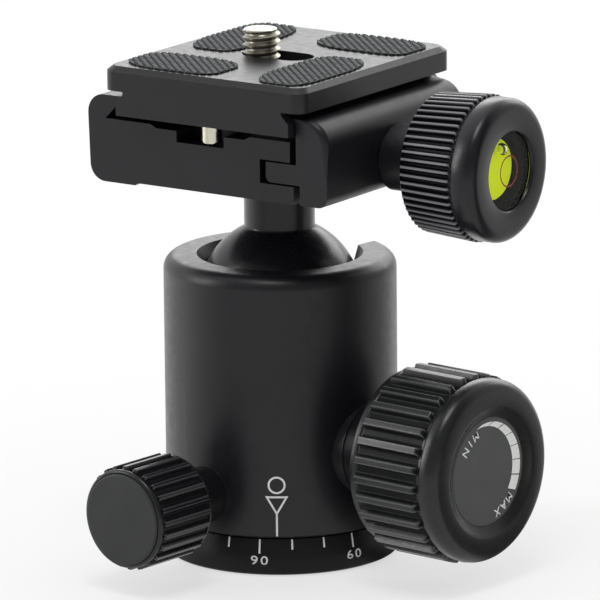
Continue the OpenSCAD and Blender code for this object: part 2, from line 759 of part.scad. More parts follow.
module clamp_screw() {
    color("#b4b6b8") clamp_axis() difference() {
        union() {
            rod(clamp_screw_r, platform_head_r + 1.8, level_back - 3);
            translate([0, 0, clamp_head_z]) cylinder(r = clamp_head_r, h = clamp_head_t, $fn = 6);
        }
        tube(2 * clamp_screw_r, clamp_screw_r - 0.6, clip_at - seat_fit, clip_at + clip_t + seat_fit);
    }
}

// The clip lies in the collar's counterbore, so the jaw follows the screw out as well as in
module screw_clip() {
    color("#8d8f92") clamp_axis() difference() {
        tube(clamp_screw_r + clip_out, clamp_screw_r - 0.6 + seat_fit, clip_at, clip_at + clip_t);
        translate([0, -1.2, clip_at - 1]) cube([2 * clamp_screw_r, 2.4, clip_t + 2]);
    }
}

module clamp_knob() {
    grip_to = knob_back + 0.3 + clamp_rib_len;
    shoulder_r = clamp_knob_r - clamp_rib_depth - 0.1;
    color("#222224") clamp_axis() difference() {
        union() {
            rotate_extrude() polygon(knob_side(knob_back, knob_face, shoulder_r, shoulder_r, 0.5, grip_to, 1.9));
            translate([0, 0, knob_back + 0.3]) linear_extrude(clamp_rib_len)
                polygon(flutes(clamp_ribs, clamp_knob_r, clamp_rib_depth));
        }
        rod(clamp_screw_r + seat_fit, 0, knob_face);
        translate([0, 0, clamp_head_z - seat_fit])
            cylinder(r = clamp_head_r + seat_fit, h = level_back - clamp_head_z + 2 * seat_fit, $fn = 6);
        rod(window_r + seat_fit, level_back - seat_fit, knob_face + 1);
    }
}

// ---- Round level in the clamp knob ----

fluid_r = window_r - level_wall;
fluid_back = level_back + level_floor;

module level_cup() {
    color("#b9d62c") clamp_axis() difference() {
        rod(window_r, level_back, level_z - window_t);
        rod(fluid_r, fluid_back, level_z);
    }
}

// The bubble lies at the top of the liquid, against the window
module at_bubble() {
    clamp_axis() translate([bubble_r + 0.15 - fluid_r, 0, level_z - window_t - bubble_r - 0.1]) children();
}

module level_fluid() {
    color("#c6e23a") difference() {
        clamp_axis() rod(fluid_r - seat_fit / 2, fluid_back, level_z - window_t - seat_fit / 2);
        at_bubble() sphere(r = bubble_r + seat_fit);
    }
}

module level_bubble() {
    color("#eef4cf") at_bubble() sphere(r = bubble_r);
}

module level_window() {
    color("#e8eef0") clamp_axis() rod(window_r, level_z - window_t, level_z - 0.1);
}

module level_ring() {
    color("#8c2418") clamp_axis() tube(ring_r, ring_r - 0.25, level_z - 0.1, level_z - 0.05);
}

// ---- Plate ----

module slot_outline(half_w, half_run) {
    translate([-half_run, 0]) circle(r = half_w);
    translate([half_run, 0]) circle(r = half_w);
    translate([-half_run, -half_w]) square([2 * half_run, 2 * half_w]);
}

// The four pads lie round the screw like the blades of a pinwheel, here grown by a gap
module pads(gap) {
    for (turn = [0, 180]) on_clamp() rotate([0, 0, turn]) translate([0, 0, top_z - pad_t + pad_proud]) {
        translate([(plate_w - long_pad_w) / 2 - pad_edge, pad_edge + (long_pad_l - plate_l) / 2, 0])
            linear_extrude(pad_t) polygon(leaf(long_pad_w + 2 * gap, long_pad_l + 2 * gap));
        translate([(plate_w - short_pad_w) / 2 - pad_edge, (plate_l - short_pad_l) / 2 - pad_edge, 0])
            linear_extrude(pad_t) polygon(leaf(short_pad_w + 2 * gap, short_pad_l + 2 * gap));
    }
}

module quick_plate() {
    pocket_top = slab_z + 0.2;
    neck_w = dovetail_w - dovetail_flank;
    color("#29292c") difference() {
        union() {
            on_clamp() hull() {
                translate([0, 0, slab_z]) linear_extrude(slab_t - slab_chamfer)
                    polygon(rounded(plate_w, plate_l, slab_corner));
                translate([0, 0, top_z - slab_chamfer]) linear_extrude(slab_chamfer)
                    polygon(rounded(plate_w - 2 * slab_chamfer, plate_l - 2 * slab_chamfer, slab_corner));
            }
            along_dovetail(plate_l) polygon([[-dovetail_w, plate_z], [dovetail_w, plate_z], [dovetail_w, flank_z],
                [neck_w, flank_z + dovetail_flank], [neck_w, slab_z + 1], [-neck_w, slab_z + 1],
                [-neck_w, flank_z + dovetail_flank], [-dovetail_w, flank_z]]);
        }
        on_clamp() translate([0, 0, plate_z - 1]) linear_extrude(slab_t + 10)
            slot_outline(slot_half_w, screw_travel / 2);
        on_clamp() translate([0, 0, plate_z - 1]) linear_extrude(pocket_top - plate_z + 1)
            slot_outline(camera_head_r + pass_gap, screw_travel / 2);
        pads(seat_fit);
        for (side = [-1, 1])
            on_clamp() translate([0, side * stop_pin_y, 0]) rod(stop_pin_r + seat_fit, plate_z - 1, plate_z + 2.2);
    }
}

module grip_pads() {
    color("#2f3133") pads(0);
}

module stop_pins() {
    color("#c9b98c") for (side = [-1, 1])
        on_clamp() translate([0, side * stop_pin_y, 0])
            rotate_extrude() polygon([[0, pocket_z + pass_gap], [stop_pin_r - 0.4, pocket_z + pass_gap],
                [stop_pin_r, pocket_z + pass_gap + 0.5], [stop_pin_r, plate_z + 2.2 - seat_fit],
                [0, plate_z + 2.2 - seat_fit]]);
}

// The camera screw stands at one end of its slot
screw_head_top = slab_z - 0.35;
module at_screw() { on_clamp() translate([-screw_travel / 2, 0, 0]) children(); }

module screw_washer() {
    color("#d8d6cf") at_screw()
        tube(camera_head_r - 0.2, camera_thread_r - 0.3 + run_fit, screw_head_top + run_fit, slab_z + 0.1);
}

module camera_screw() {
    tip = top_z + camera_thread_h;
    color("#c9c4b4") at_screw() difference() {
        union() {
            rod(camera_head_r, plate_z + 0.7, screw_head_top);
            rod(camera_thread_r - 0.3, screw_head_top - 1, top_z + 1);
            rotate_extrude() polygon([[0, top_z + 0.1], [camera_thread_r, top_z + 0.1],
                [camera_thread_r, tip - 0.4], [camera_thread_r - 0.4, tip], [0, tip]]);
        }
        translate([-camera_head_r - 1, -0.8, plate_z]) cube([2 * camera_head_r + 2, 1.6, 2]);
    }
}

pan_base();
tripod_bushing();
pan_washer();
snap_ring();
housing();
core_block();
upper_race();
main_bushing();
pan_bushing();
pressure_cup();
wedge_pusher();
main_screw();
main_knob();
main_knob_screw();
main_dial();
pan_shoe();
pan_screw();
pan_knob();
pan_knob_screw();
pan_cap();
ball_liner();
ball();
clamp_body();
platform_screw();
moving_jaw();
guide_pins();
clamp_collar();
clamp_screw();
screw_clip();
clamp_knob();
level_cup();
level_fluid();
level_bubble();
level_window();
level_ring();
quick_plate();
grip_pads();
stop_pins();
screw_washer();
camera_screw();
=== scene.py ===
import json
import math

import bmesh
import bpy
from mathutils import Matrix, Vector

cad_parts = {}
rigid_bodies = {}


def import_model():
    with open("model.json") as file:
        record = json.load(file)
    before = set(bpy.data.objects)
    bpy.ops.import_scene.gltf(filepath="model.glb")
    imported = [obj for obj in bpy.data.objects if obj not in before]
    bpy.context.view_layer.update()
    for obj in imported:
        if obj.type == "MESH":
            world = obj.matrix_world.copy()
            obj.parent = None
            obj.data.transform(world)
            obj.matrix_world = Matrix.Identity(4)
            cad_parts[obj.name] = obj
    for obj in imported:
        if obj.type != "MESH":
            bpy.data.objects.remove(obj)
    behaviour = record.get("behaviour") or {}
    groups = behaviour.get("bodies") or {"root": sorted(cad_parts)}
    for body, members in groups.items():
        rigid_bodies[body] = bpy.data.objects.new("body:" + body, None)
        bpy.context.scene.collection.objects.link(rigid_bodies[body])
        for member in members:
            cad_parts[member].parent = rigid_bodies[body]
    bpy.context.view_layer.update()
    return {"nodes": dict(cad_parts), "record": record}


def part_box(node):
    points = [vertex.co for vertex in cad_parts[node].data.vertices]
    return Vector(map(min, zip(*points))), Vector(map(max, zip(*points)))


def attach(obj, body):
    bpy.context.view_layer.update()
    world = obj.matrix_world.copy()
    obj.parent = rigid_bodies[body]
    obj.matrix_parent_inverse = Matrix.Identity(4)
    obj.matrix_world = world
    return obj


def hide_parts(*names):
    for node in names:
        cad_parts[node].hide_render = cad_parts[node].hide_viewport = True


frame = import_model()
bpy.context.scene.view_settings.view_transform = "Standard"

MM = 0.001
DEGREE = math.pi / 180


# ---- Camera and light ----

def add_camera():
    """A long lens from the front, a little above the head."""
    distance = 1.17815
    elevation = 13.465 * DEGREE
    aim_height = 0.040
    heading = 40.5 * DEGREE
    yaw = 0.165 * DEGREE
    pitch = 13.344 * DEGREE
    roll = -0.553 * DEGREE
    place = Vector((0, -distance * math.cos(elevation), distance * math.sin(elevation) + aim_height))
    turn = (Matrix.Rotation(heading - yaw, 4, "Z") @ Matrix.Rotation(math.pi / 2 - pitch, 4, "X")
            @ Matrix.Rotation(roll, 4, "Z"))
    data = bpy.data.cameras.new("camera")
    data.lens = 420
    data.sensor_width = 36
    camera = bpy.data.objects.new("camera", data)
    bpy.context.scene.collection.objects.link(camera)
    camera.matrix_world = Matrix.Translation(Matrix.Rotation(heading, 4, "Z") @ place) @ turn
    bpy.context.scene.camera = camera


def node_math(tree, operation, first, second):
    """A Math node's output, from two sockets or numbers."""
    node = tree.nodes.new("ShaderNodeMath")
    node.operation = operation
    for socket, value in zip(node.inputs, (first, second)):
        if isinstance(value, (int, float)):
            socket.default_value = value
        else:
            tree.links.new(value, socket)
    return node.outputs["Value"]


def node_range(tree, value, low, high, at_low, at_high, kind="SMOOTHSTEP"):
    """A Map Range node's output, smooth unless told otherwise."""
    node = tree.nodes.new("ShaderNodeMapRange")
    node.interpolation_type = kind
    node.inputs["From Min"].default_value = low
    node.inputs["From Max"].default_value = high
    node.inputs["To Min"].default_value = at_low
    node.inputs["To Max"].default_value = at_high
    tree.links.new(value, node.inputs["Value"])
    return node.outputs["Result"]


def vector_math(tree, operation, socket, vector=(0, 0, 0)):
    """A Vector Math node, from a socket and a fixed vector."""
    node = tree.nodes.new("ShaderNodeVectorMath")
    node.operation = operation
    tree.links.new(socket, node.inputs[0])
    node.inputs[1].default_value = vector
    return node


def toward(tree, vector, heading):
    """How far a direction on the ground points to a heading, from -1 to 1."""
    flat = vector_math(tree, "MULTIPLY", vector, (1, 1, 0))
    unit = vector_math(tree, "NORMALIZE", flat.outputs["Vector"])
    aim = (math.cos(heading * DEGREE), math.sin(heading * DEGREE), 0)
    return vector_math(tree, "DOT_PRODUCT", unit.outputs["Vector"], aim).outputs["Value"]


CAMERA_HEADING = -49.5


def studio_gloss(tree, vector, front, back):
    """What polished faces find round the head: bright behind, dimmer in front, with screens on three sides."""
    level = node_range(tree, toward(tree, vector, CAMERA_HEADING), -0.2, 0.8, back, front)
    for heading, begin, end, share in ((20, 0.93, 0.985, 0.12), (56, 0.9, 0.99, 0.6), (-118, 0.85, 0.99, 0.72)):
        screen = node_range(tree, toward(tree, vector, heading), begin, end, 1.0, share)
        level = node_math(tree, "MULTIPLY", level, screen)
    return level


def add_studio_world():
    """White to the eye and through glass, an even fill on matt faces, and the studio in polished ones."""
    world = bpy.data.worlds.new("studio")
    bpy.context.scene.world = world
    world.use_nodes = True
    tree = world.node_tree
    backdrop = tree.nodes["Background"]
    backdrop.inputs["Color"].default_value = (1, 1, 1, 1)
    rays = tree.nodes.new("ShaderNodeLightPath")
    direction = tree.nodes.new("ShaderNodeTexCoord").outputs["Generated"]
    seen = node_math(tree, "MAXIMUM", rays.outputs["Is Camera Ray"], rays.outputs["Is Transmission Ray"])
    gloss = node_math(tree, "MULTIPLY", rays.outputs["Is Glossy Ray"], studio_gloss(tree, direction, 0.25, 1.0))
    fill = node_math(tree, "MULTIPLY", rays.outputs["Is Diffuse Ray"], 0.6)
    strength = node_math(tree, "MAXIMUM", node_math(tree, "MAXIMUM", seen, gloss), fill)
    tree.links.new(strength, backdrop.inputs["Strength"])


def add_softbox(name, place, size, power):
    """A square lamp at a place, aimed at the middle of the head."""
    lamp = bpy.data.lights.new(name, "AREA")
    lamp.shape = "RECTANGLE"
    lamp.size = size[0]
    lamp.size_y = size[1]
    lamp.energy = power
    holder = bpy.data.objects.new(name, lamp)
    bpy.context.scene.collection.objects.link(holder)
    holder.location = place
    aim = Vector((0, 0, 0.045)) - Vector(place)
    holder.rotation_euler = aim.to_track_quat("-Z", "Y").to_euler()
    holder.visible_camera = False


def add_floor():
    """A pale floor that holds the head's soft shadow and fades into the white backdrop."""
    radius = 1.6
    gap = 0.0002
    deselect()
    bpy.ops.mesh.primitive_circle_add(vertices=96, radius=radius, fill_type="NGON", location=(0, 0, -gap))
    floor = bpy.context.object
    floor.name = "floor"
    bpy.ops.object.transform_apply(location=True)
    material = bpy.data.materials.new("pale_floor")
    material.use_nodes = True
    tree = material.node_tree
    surface = tree.nodes["Principled BSDF"]
    surface.inputs["Base Color"].default_value = (0.86, 0.86, 0.86, 1)
    surface.inputs["Roughness"].default_value = 0.85
    surface.inputs["Specular IOR Level"].default_value = 0.2
    rays = tree.nodes.new("ShaderNodeLightPath")
    place = tree.nodes.new("ShaderNodeTexCoord").outputs["Object"]
    away = vector_math(tree, "LENGTH", place)
    glow = tree.nodes.new("ShaderNodeEmission")
    glow.inputs["Color"].default_value = (1, 1, 1, 1)
    gloss = node_math(tree, "MULTIPLY", rays.outputs["Is Glossy Ray"], studio_gloss(tree, place, 0.78, 1.2))
    bright = node_math(tree, "MAXIMUM", rays.outputs["Is Camera Ray"], gloss)
    tree.links.new(bright, glow.inputs["Strength"])
    fade = node_range(tree, away.outputs["Value"], 0.03, 0.16, 0.6, 1.0)
    seen = node_math(tree, "MULTIPLY", rays.outputs["Is Camera Ray"], fade)
    blend = tree.nodes.new("ShaderNodeMixShader")
    tree.links.new(node_math(tree, "MAXIMUM", seen, rays.outputs["Is Glossy Ray"]), blend.inputs["Fac"])
    tree.links.new(surface.outputs["BSDF"], blend.inputs[1])
    tree.links.new(glow.outputs["Emission"], blend.inputs[2])
    tree.links.new(blend.outputs["Shader"], tree.nodes["Material Output"].inputs["Surface"])
    floor.data.materials.append(material)


# ---- Finishes ----

class Finish:
    """A surface finish on Object coordinates, built from layers of noise in millimetres."""

    def __init__(self, name, roughness, metal=0.0, gloss=0.5):
        self.name = name
        self.material = bpy.data.materials.new(name)
        self.material.use_nodes = True
        self.tree = self.material.node_tree
        self.nodes = self.tree.nodes
        self.links = self.tree.links
        self.surface = self.nodes["Principled BSDF"]
        self.give("Roughness", roughness)
        self.give("Metallic", metal)
        self.give("Specular IOR Level", gloss)
        self.place = self.nodes.new("ShaderNodeTexCoord").outputs["Object"]
        self.normal = None

    def give(self, name, value):
        self.surface.inputs[name].default_value = value

    def noise(self, size_mm, detail=3.0, stretch=(1, 1, 1)):
        mapping = self.nodes.new("ShaderNodeMapping")
        mapping.inputs["Scale"].default_value = stretch
        self.links.new(self.place, mapping.inputs["Vector"])
        noise = self.nodes.new("ShaderNodeTexNoise")
        noise.inputs["Scale"].default_value = 1 / (size_mm * MM)
        noise.inputs["Detail"].default_value = detail
        self.links.new(mapping.outputs["Vector"], noise.inputs["Vector"])
        return noise.outputs["Fac"]

    def colour(self, dark, light, size_mm, stretch=(1, 1, 1)):
        ramp = self.nodes.new("ShaderNodeValToRGB")
        ramp.color_ramp.elements[0].position = 0.3
        ramp.color_ramp.elements[1].position = 0.7
        ramp.color_ramp.elements[0].color = (*dark, 1)
        ramp.color_ramp.elements[1].color = (*light, 1)
        self.links.new(self.noise(size_mm, 4.0, stretch), ramp.inputs["Fac"])
        self.links.new(ramp.outputs["Color"], self.surface.inputs["Base Color"])
        return self

    def rough(self, low, high, size_mm, stretch=(1, 1, 1)):
        spread = node_range(self.tree, self.noise(size_mm, 3.0, stretch), 0.3, 0.7, low, high, "LINEAR")
        self.links.new(spread, self.surface.inputs["Roughness"])
        return self

    def grain(self, size_mm, height_mm, strength=1.0, stretch=(1, 1, 1)):
        bump = self.nodes.new("ShaderNodeBump")
        bump.inputs["Strength"].default_value = strength
        bump.inputs["Distance"].default_value = height_mm * MM
        self.links.new(self.noise(size_mm, 2.0, stretch), bump.inputs["Height"])
        if self.normal:
            self.links.new(self.normal, bump.inputs["Normal"])
        self.normal = bump.outputs["Normal"]
        self.links.new(self.normal, self.surface.inputs["Normal"])
        return self

    def painted_groove_shade(self, low_mm, high_mm):
        """Painted shade: darkens the colour toward the bottom of a pattern that stands up along Z, as if its grooves
        were shaded.
        """
        axes = self.nodes.new("ShaderNodeSeparateXYZ")
        self.links.new(self.place, axes.inputs["Vector"])
        share = node_range(self.tree, axes.outputs["Z"], low_mm * MM, high_mm * MM, 0.1, 1.0)
        scaled = vector_math(self.tree, "SCALE", self.surface.inputs["Base Color"].links[0].from_socket)
        self.links.new(share, scaled.inputs["Scale"])
        self.links.new(scaled.outputs["Vector"], self.surface.inputs["Base Color"])
        return self

    def ridge_highlight_groove_shade(self, bright):
        """Painted highlight: a brighter colour on the ribs' edges, where the piece's mesh is marked 1, and painted
        shade as less gloss down in its grooves, marked -1.
        """
        mark = self.nodes.new("ShaderNodeAttribute")
        mark.attribute_name = "ridge_highlight_groove_shade"
        blend = self.nodes.new("ShaderNodeMix")
        blend.data_type = "RGBA"
        self.links.new(mark.outputs["Fac"], blend.inputs["Factor"])
        self.links.new(self.surface.inputs["Base Color"].links[0].from_socket, blend.inputs["A"])
        blend.inputs["B"].default_value = (*bright, 1)
        self.links.new(blend.outputs["Result"], self.surface.inputs["Base Color"])
        gloss = node_range(self.tree, mark.outputs["Fac"], -0.8, 0.0, 0.08, 0.45)
        self.links.new(gloss, self.surface.inputs["Specular IOR Level"])
        return self

    def clear(self, ior, tint):
        self.give("Transmission Weight", 1.0)
        self.give("IOR", ior)
        self.give("Base Color", (*tint, 1))
        return self


def anodised(name, dark, light, low, high, gloss=0.45):
    """Bead-blasted aluminium under a dyed, sealed skin."""
    finish = Finish(name, low, gloss=gloss)
    return finish.colour(dark, light, 9).rough(low, high, 1.6).grain(0.16, 0.006).grain(2.5, 0.004)


def turned_metal(name, dark, light, low, high):
    """Bare metal with the fine lines that a lathe leaves."""
    finish = Finish(name, low, metal=1.0)
    return finish.colour(dark, light, 3).rough(low, high, 0.5, (1, 1, 4)).grain(0.12, 0.003, 0.6, (1, 1, 5))


def bright_plate(name, dark, light, low, high):
    """Smooth bright plating, slightly cloudy."""
    return Finish(name, low, metal=1.0).colour(dark, light, 2.2).rough(low, high, 1.2).grain(1.4, 0.002, 0.4)


def moulded(name, dark, light, low, high, grain_mm=0.22, height_mm=0.012):
    """Moulded rubber or plastic with a spark-eroded grain."""
    finish = Finish(name, low, gloss=0.4)
    return finish.colour(dark, light, 5).rough(low, high, 0.8).grain(grain_mm, height_mm)


def printed(name, dark, light):
    """Screen-printed ink, slightly uneven."""
    return Finish(name, 0.5, gloss=0.35).colour(dark, light, 0.5).rough(0.42, 0.58, 0.3).grain(0.1, 0.003)


FINISHES = {finish.name: finish for finish in (
    anodised("black_anodised", (0.0065, 0.006, 0.008), (0.009, 0.0085, 0.011), 0.34, 0.42),
    anodised("ball_finish", (0.006, 0.0055, 0.008), (0.008, 0.0075, 0.010), 0.24, 0.30),
    anodised("plate_finish", (0.010, 0.010, 0.012), (0.013, 0.013, 0.015), 0.33, 0.41, 0.42),
    anodised("clamp_knob_metal", (0.005, 0.005, 0.007), (0.007, 0.007, 0.010), 0.27, 0.34),
    turned_metal("core_metal", (0.58, 0.59, 0.60), (0.66, 0.67, 0.68), 0.28, 0.38),
    turned_metal("steel", (0.54, 0.55, 0.56), (0.64, 0.65, 0.66), 0.22, 0.32),
    turned_metal("dark_steel", (0.14, 0.14, 0.15), (0.20, 0.20, 0.21), 0.35, 0.45),
    turned_metal("bronze", (0.50, 0.34, 0.15), (0.60, 0.43, 0.21), 0.28, 0.38),
    bright_plate("pin_metal", (0.74, 0.70, 0.54), (0.86, 0.82, 0.68), 0.22, 0.32),
    bright_plate("screw_metal", (0.32, 0.30, 0.25), (0.39, 0.37, 0.31), 0.26, 0.34),
    moulded("nylon", (0.72, 0.71, 0.67), (0.80, 0.79, 0.75), 0.40, 0.50),
    moulded("black_nylon", (0.03, 0.03, 0.03), (0.05, 0.05, 0.05), 0.45, 0.55),
    moulded("knob_rubber", (0.010, 0.0105, 0.011), (0.014, 0.0145, 0.015), 0.26, 0.33, 0.2, 0.004),
    moulded("pan_knob_plastic", (0.008, 0.008, 0.009), (0.011, 0.011, 0.013), 0.26, 0.33, 0.2, 0.004),
    moulded("dial_plastic", (0.072, 0.073, 0.074), (0.080, 0.081, 0.082), 0.50, 0.60, 0.15, 0.006),
    moulded("pad_rubber", (0.060, 0.065, 0.069), (0.085, 0.091, 0.096), 0.55, 0.70, 0.12, 0.010),
    Finish("level_green", 0.4).colour((0.84, 0.92, 0.03), (0.88, 0.96, 0.05), 1.5).rough(0.35, 0.45, 0.5),
    Finish("level_liquid", 0.0).clear(1.0, (0.95, 1.0, 0.42)).grain(4.0, 0.0001, 0.01),
    Finish("air", 0.0).clear(0.72, (1.0, 1.0, 1.0)).grain(4.0, 0.001, 0.1),
    Finish("window", 0.0).clear(1.12, (1.0, 1.0, 1.0)).grain(3.0, 0.0001, 0.01),
    printed("red_print", (0.22, 0.02, 0.01), (0.28, 0.03, 0.015)),
)}
# Painted highlights on the knobs' rib edges, with painted shade as less gloss in their grooves.
FINISHES["clamp_knob_metal"].ridge_highlight_groove_shade((0.17, 0.17, 0.18))
FINISHES["knob_rubber"].ridge_highlight_groove_shade((0.10, 0.102, 0.105))
FINISHES["pan_knob_plastic"].ridge_highlight_groove_shade((0.07, 0.07, 0.074))
# Painted shade: the pads' colour darkens down into the grooves between their diamonds.
FINISHES["pad_rubber"].painted_groove_shade(84.89, 84.99)  # heights of the grooves between the pads' diamonds
# Painted light: the level's green floor glows a little, standing in for the light that reaches it through the glass.
FINISHES["level_green"].give("Emission Color", (0.75, 0.85, 0.02, 1))
FINISHES["level_green"].give("Emission Strength", 0.18)
# Painted shade: a darker, less glossy copy of the black anodising, for the base and the bushings that sit in shade.
PAINTED_SHADE_BLACK = anodised("painted_shade_black", (0.005, 0.0048, 0.006), (0.007, 0.0068, 0.0085), 0.36, 0.44, 0.22)
CAP_PLASTIC = moulded("cap_plastic", (0.024, 0.025, 0.026), (0.030, 0.031, 0.032), 0.50, 0.60, 0.15, 0.006)
WELL_BLACK = moulded("well_black", (0.002, 0.003, 0.002), (0.004, 0.005, 0.004), 0.80, 0.90)
WELL_BLACK.give("Specular IOR Level", 0.05)
WHITE_INK = printed("white_ink", (0.70, 0.70, 0.69), (0.80, 0.80, 0.79))


def dress_cad_nodes():
    """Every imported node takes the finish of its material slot."""
    slots = {part["node"]: part["material_slot"] for part in frame["record"]["subparts"]}
    for name, piece in frame["nodes"].items():
        piece.data.materials.clear()
        piece.data.materials.append(FINISHES[slots[name]].material)


# ---- Modelling tools ----

CLAMP_TURN = 6  # degrees about Z, of the clamp and all on it
SLOT_HALF_RUN = 3.3  # mm, the camera screw's run to each side
STOP_PIN_RUN = 19.4  # mm, from the plate's middle to each pin


def deselect():
    bpy.ops.object.select_all(action="DESELECT")


def select_only(piece):
    deselect()
    piece.select_set(True)
    bpy.context.view_layer.objects.active = piece


def copy_of(piece, name):
    """A copy of a piece, under a name of its own."""
    select_only(piece)
    bpy.ops.object.duplicate()
    copy = bpy.context.object
    copy.name = name
    return copy


def join(marks):
    """Makes several pieces one, and gives that one back."""
    deselect()
    for mark in marks:
        mark.select_set(True)
    bpy.context.view_layer.objects.active = marks[0]
    if len(marks) > 1:
        bpy.ops.object.join()
    return bpy.context.object


def edit_all():
    """Opens the active piece's mesh with all of it selected."""
    bpy.ops.object.mode_set(mode="EDIT")
    bpy.ops.mesh.select_all(action="SELECT")


def close_solid():
    """Turns every face of the open mesh outward and closes the mesh."""
    bpy.ops.mesh.select_all(action="SELECT")
    bpy.ops.mesh.normals_make_consistent(inside=False)
    bpy.ops.object.mode_set(mode="OBJECT")


def pick(piece, kind, test):
    """Selects the vertices, edges or faces of an open mesh that pass a test, and nothing else."""
    bpy.ops.mesh.select_mode(type=kind)
    bpy.ops.mesh.select_all(action="DESELECT")
    mesh = bmesh.from_edit_mesh(piece.data)
    for part in {"VERT": mesh.verts, "EDGE": mesh.edges, "FACE": mesh.faces}[kind]:
        part.select = test(part)
    if kind == "VERT":
        mesh.select_flush(True)
    bmesh.update_edit_mesh(piece.data)


def extrude(x=0, y=0, z=0):
    """Draws out what is selected in the open mesh, in mm."""
    bpy.ops.mesh.extrude_region_move(TRANSFORM_OT_translate={"value": (x * MM, y * MM, z * MM)})


def shift(x=0, y=0, z=0):
    """Moves what is selected in the open mesh, in mm."""
    bpy.ops.transform.translate(value=(x * MM, y * MM, z * MM))


def resize(x, y, z=1, height=0):
    """Scales what is selected in the open mesh about a height in mm on the Z axis."""
    bpy.ops.transform.resize(value=(x, y, z), center_override=(0, 0, height * MM))


def start_point(name, x, y, z):
    """A piece whose open mesh is a single vertex, at a place in mm."""
    deselect()
    bpy.ops.mesh.primitive_plane_add(size=MM, location=(0, 0, 0))
    piece = bpy.context.object
    piece.name = name
    edit_all()
    bpy.ops.mesh.merge(type="CENTER")
    shift(x, y, z)
    return piece


def polish(piece, angle=32):
    """Smooth shading that keeps true corners."""
    select_only(piece)
    bpy.ops.object.shade_smooth_by_angle(angle=angle * DEGREE)
    even = piece.modifiers.new("flat_faces", "WEIGHTED_NORMAL")
    even.keep_sharp = True
    even.weight = 90
    bpy.ops.object.modifier_apply(modifier="flat_faces")


def round_edges(piece, width_mm, segments=2, angle=32):
    """A small radius on every edge sharper than an angle, left in the mesh."""
    bpy.context.view_layer.objects.active = piece
    bevel = piece.modifiers.new("edges", "BEVEL")
    bevel.width = width_mm * MM
    bevel.segments = segments
    bevel.limit_method = "ANGLE"
    bevel.angle_limit = angle * DEGREE
    bevel.miter_outer = "MITER_ARC"
    bevel.harden_normals = True
    bpy.ops.object.modifier_apply(modifier="edges")


def turned(name, stations, sides=96):
    """A solid turned about Z through (radius, height) stations in mm, or a ring if they come back to the start."""
    deselect()
    radius, height = stations[0]
    is_ring = stations[0] == stations[-1]
    fill = "NOTHING" if is_ring else "NGON"
    place = (0, 0, height * MM)
    bpy.ops.mesh.primitive_circle_add(vertices=sides, radius=radius * MM, fill_type=fill, location=place)
    piece = bpy.context.object
    piece.name = name
    bpy.ops.object.transform_apply(location=True)
    edit_all()
    for next_radius, next_height in stations[1:]:
        extrude(z=next_height - height)
        resize(next_radius / radius, next_radius / radius, 1, next_height)
        radius, height = next_radius, next_height
    if is_ring:
        bpy.ops.mesh.select_all(action="SELECT")
        bpy.ops.mesh.remove_doubles(threshold=0.0005 * MM)
    close_solid()
    return piece


def arc_stations(centre_r, centre_z, radius, start, end, steps):
    """Stations round an arc, from one angle to another in degrees."""
    turns = [start + (end - start) * step / steps for step in range(steps + 1)]
    return [(centre_r + radius * math.cos(a * DEGREE), centre_z + radius * math.sin(a * DEGREE)) for a in turns]


def press_grooves(piece, low, high, count, steps, crest, depth, section, reach=1):
    """Pushes in the grooves between a grip's ribs, from low to high along its axis.

    section gives the depth, from 0 to 1, at each of the steps round one rib and its groove. The ribs' edges, up to
    reach steps from a groove, are marked 1 for a painted highlight, and the grooves -1 for painted shade."""
    # Marks for the painted highlight on the ribs' edges and the painted shade in the grooves.
    ridge_highlight_groove_shade = [-1 if share > 0.5 else any(section[(step + side) % steps] for side in range(-reach, reach + 1))
              for step, share in enumerate(section)]

    def value_at(vertex, values):
        """The value for a vertex's step round the ribs, or None if it isn't on this part of the crest."""
        x, y, z = vertex.co / MM
        if abs(math.hypot(x, y) - crest) < 0.02 and low - 0.01 < z < high + 0.01:
            return values[round(math.atan2(y, x) / math.tau * count * steps) % steps]
        return None

    marks = piece.data.attributes.get("ridge_highlight_groove_shade") or piece.data.attributes.new("ridge_highlight_groove_shade", "FLOAT", "POINT")
    for vertex, mark in zip(piece.data.vertices, marks.data):
        value = value_at(vertex, ridge_highlight_groove_shade)
        if value is not None:
            mark.value = value
    bpy.context.view_layer.objects.active = piece
    bpy.ops.object.mode_set(mode="EDIT")
    for share in sorted(set(section) - {0}):
        pick(piece, "VERT", lambda vertex: value_at(vertex, section) == share)
        pushed = (crest - depth * share) / crest
        resize(pushed, pushed)
    bpy.ops.object.mode_set(mode="OBJECT")


def settle(piece):
    """Leaves a piece's turn, place and scale in its mesh, with its object at the origin."""
    select_only(piece)
    bpy.ops.object.transform_apply(location=True, rotation=True, scale=True)


def put(piece, turn=(0, 0, 0), place=(0, 0, 0)):
    """Turns a piece in degrees and moves it in metres."""
    piece.rotation_euler = [angle * DEGREE for angle in turn]
    piece.location = place
    settle(piece)


def hand_over(piece, body, slot, *nodes, finish=None):
    """Gives a piece its finish, its body and the nodes that it stands for."""
    piece.data.materials.clear()
    piece.data.materials.append((finish or FINISHES[slot]).material)
    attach(piece, body)
    if nodes:
        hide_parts(*nodes)


def merged_copy(node, name):
    """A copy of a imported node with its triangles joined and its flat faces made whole."""
    piece = copy_of(frame["nodes"][node], name)
    bpy.ops.object.parent_clear(type="CLEAR_KEEP_TRANSFORM")
    for key in [key for key in piece.keys() if key.startswith("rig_")]:
        del piece[key]
    edit_all()
    bpy.ops.mesh.remove_doubles(threshold=0.002 * MM)
    bpy.ops.mesh.dissolve_limited(angle_limit=0.3 * DEGREE)
    bpy.ops.mesh.customdata_custom_splitnormals_clear()
    bpy.ops.object.mode_set(mode="OBJECT")
    return piece


def finish_machined(node, body, slot, width_mm, segments=2, finish=None):
    """A machined part with a small radius on its edges."""
    piece = merged_copy(node, node + "_machined")
    round_edges(piece, width_mm, segments)
    polish(piece)
    hand_over(piece, body, slot, node, finish=finish)
    return piece


# ---- Knobs ----

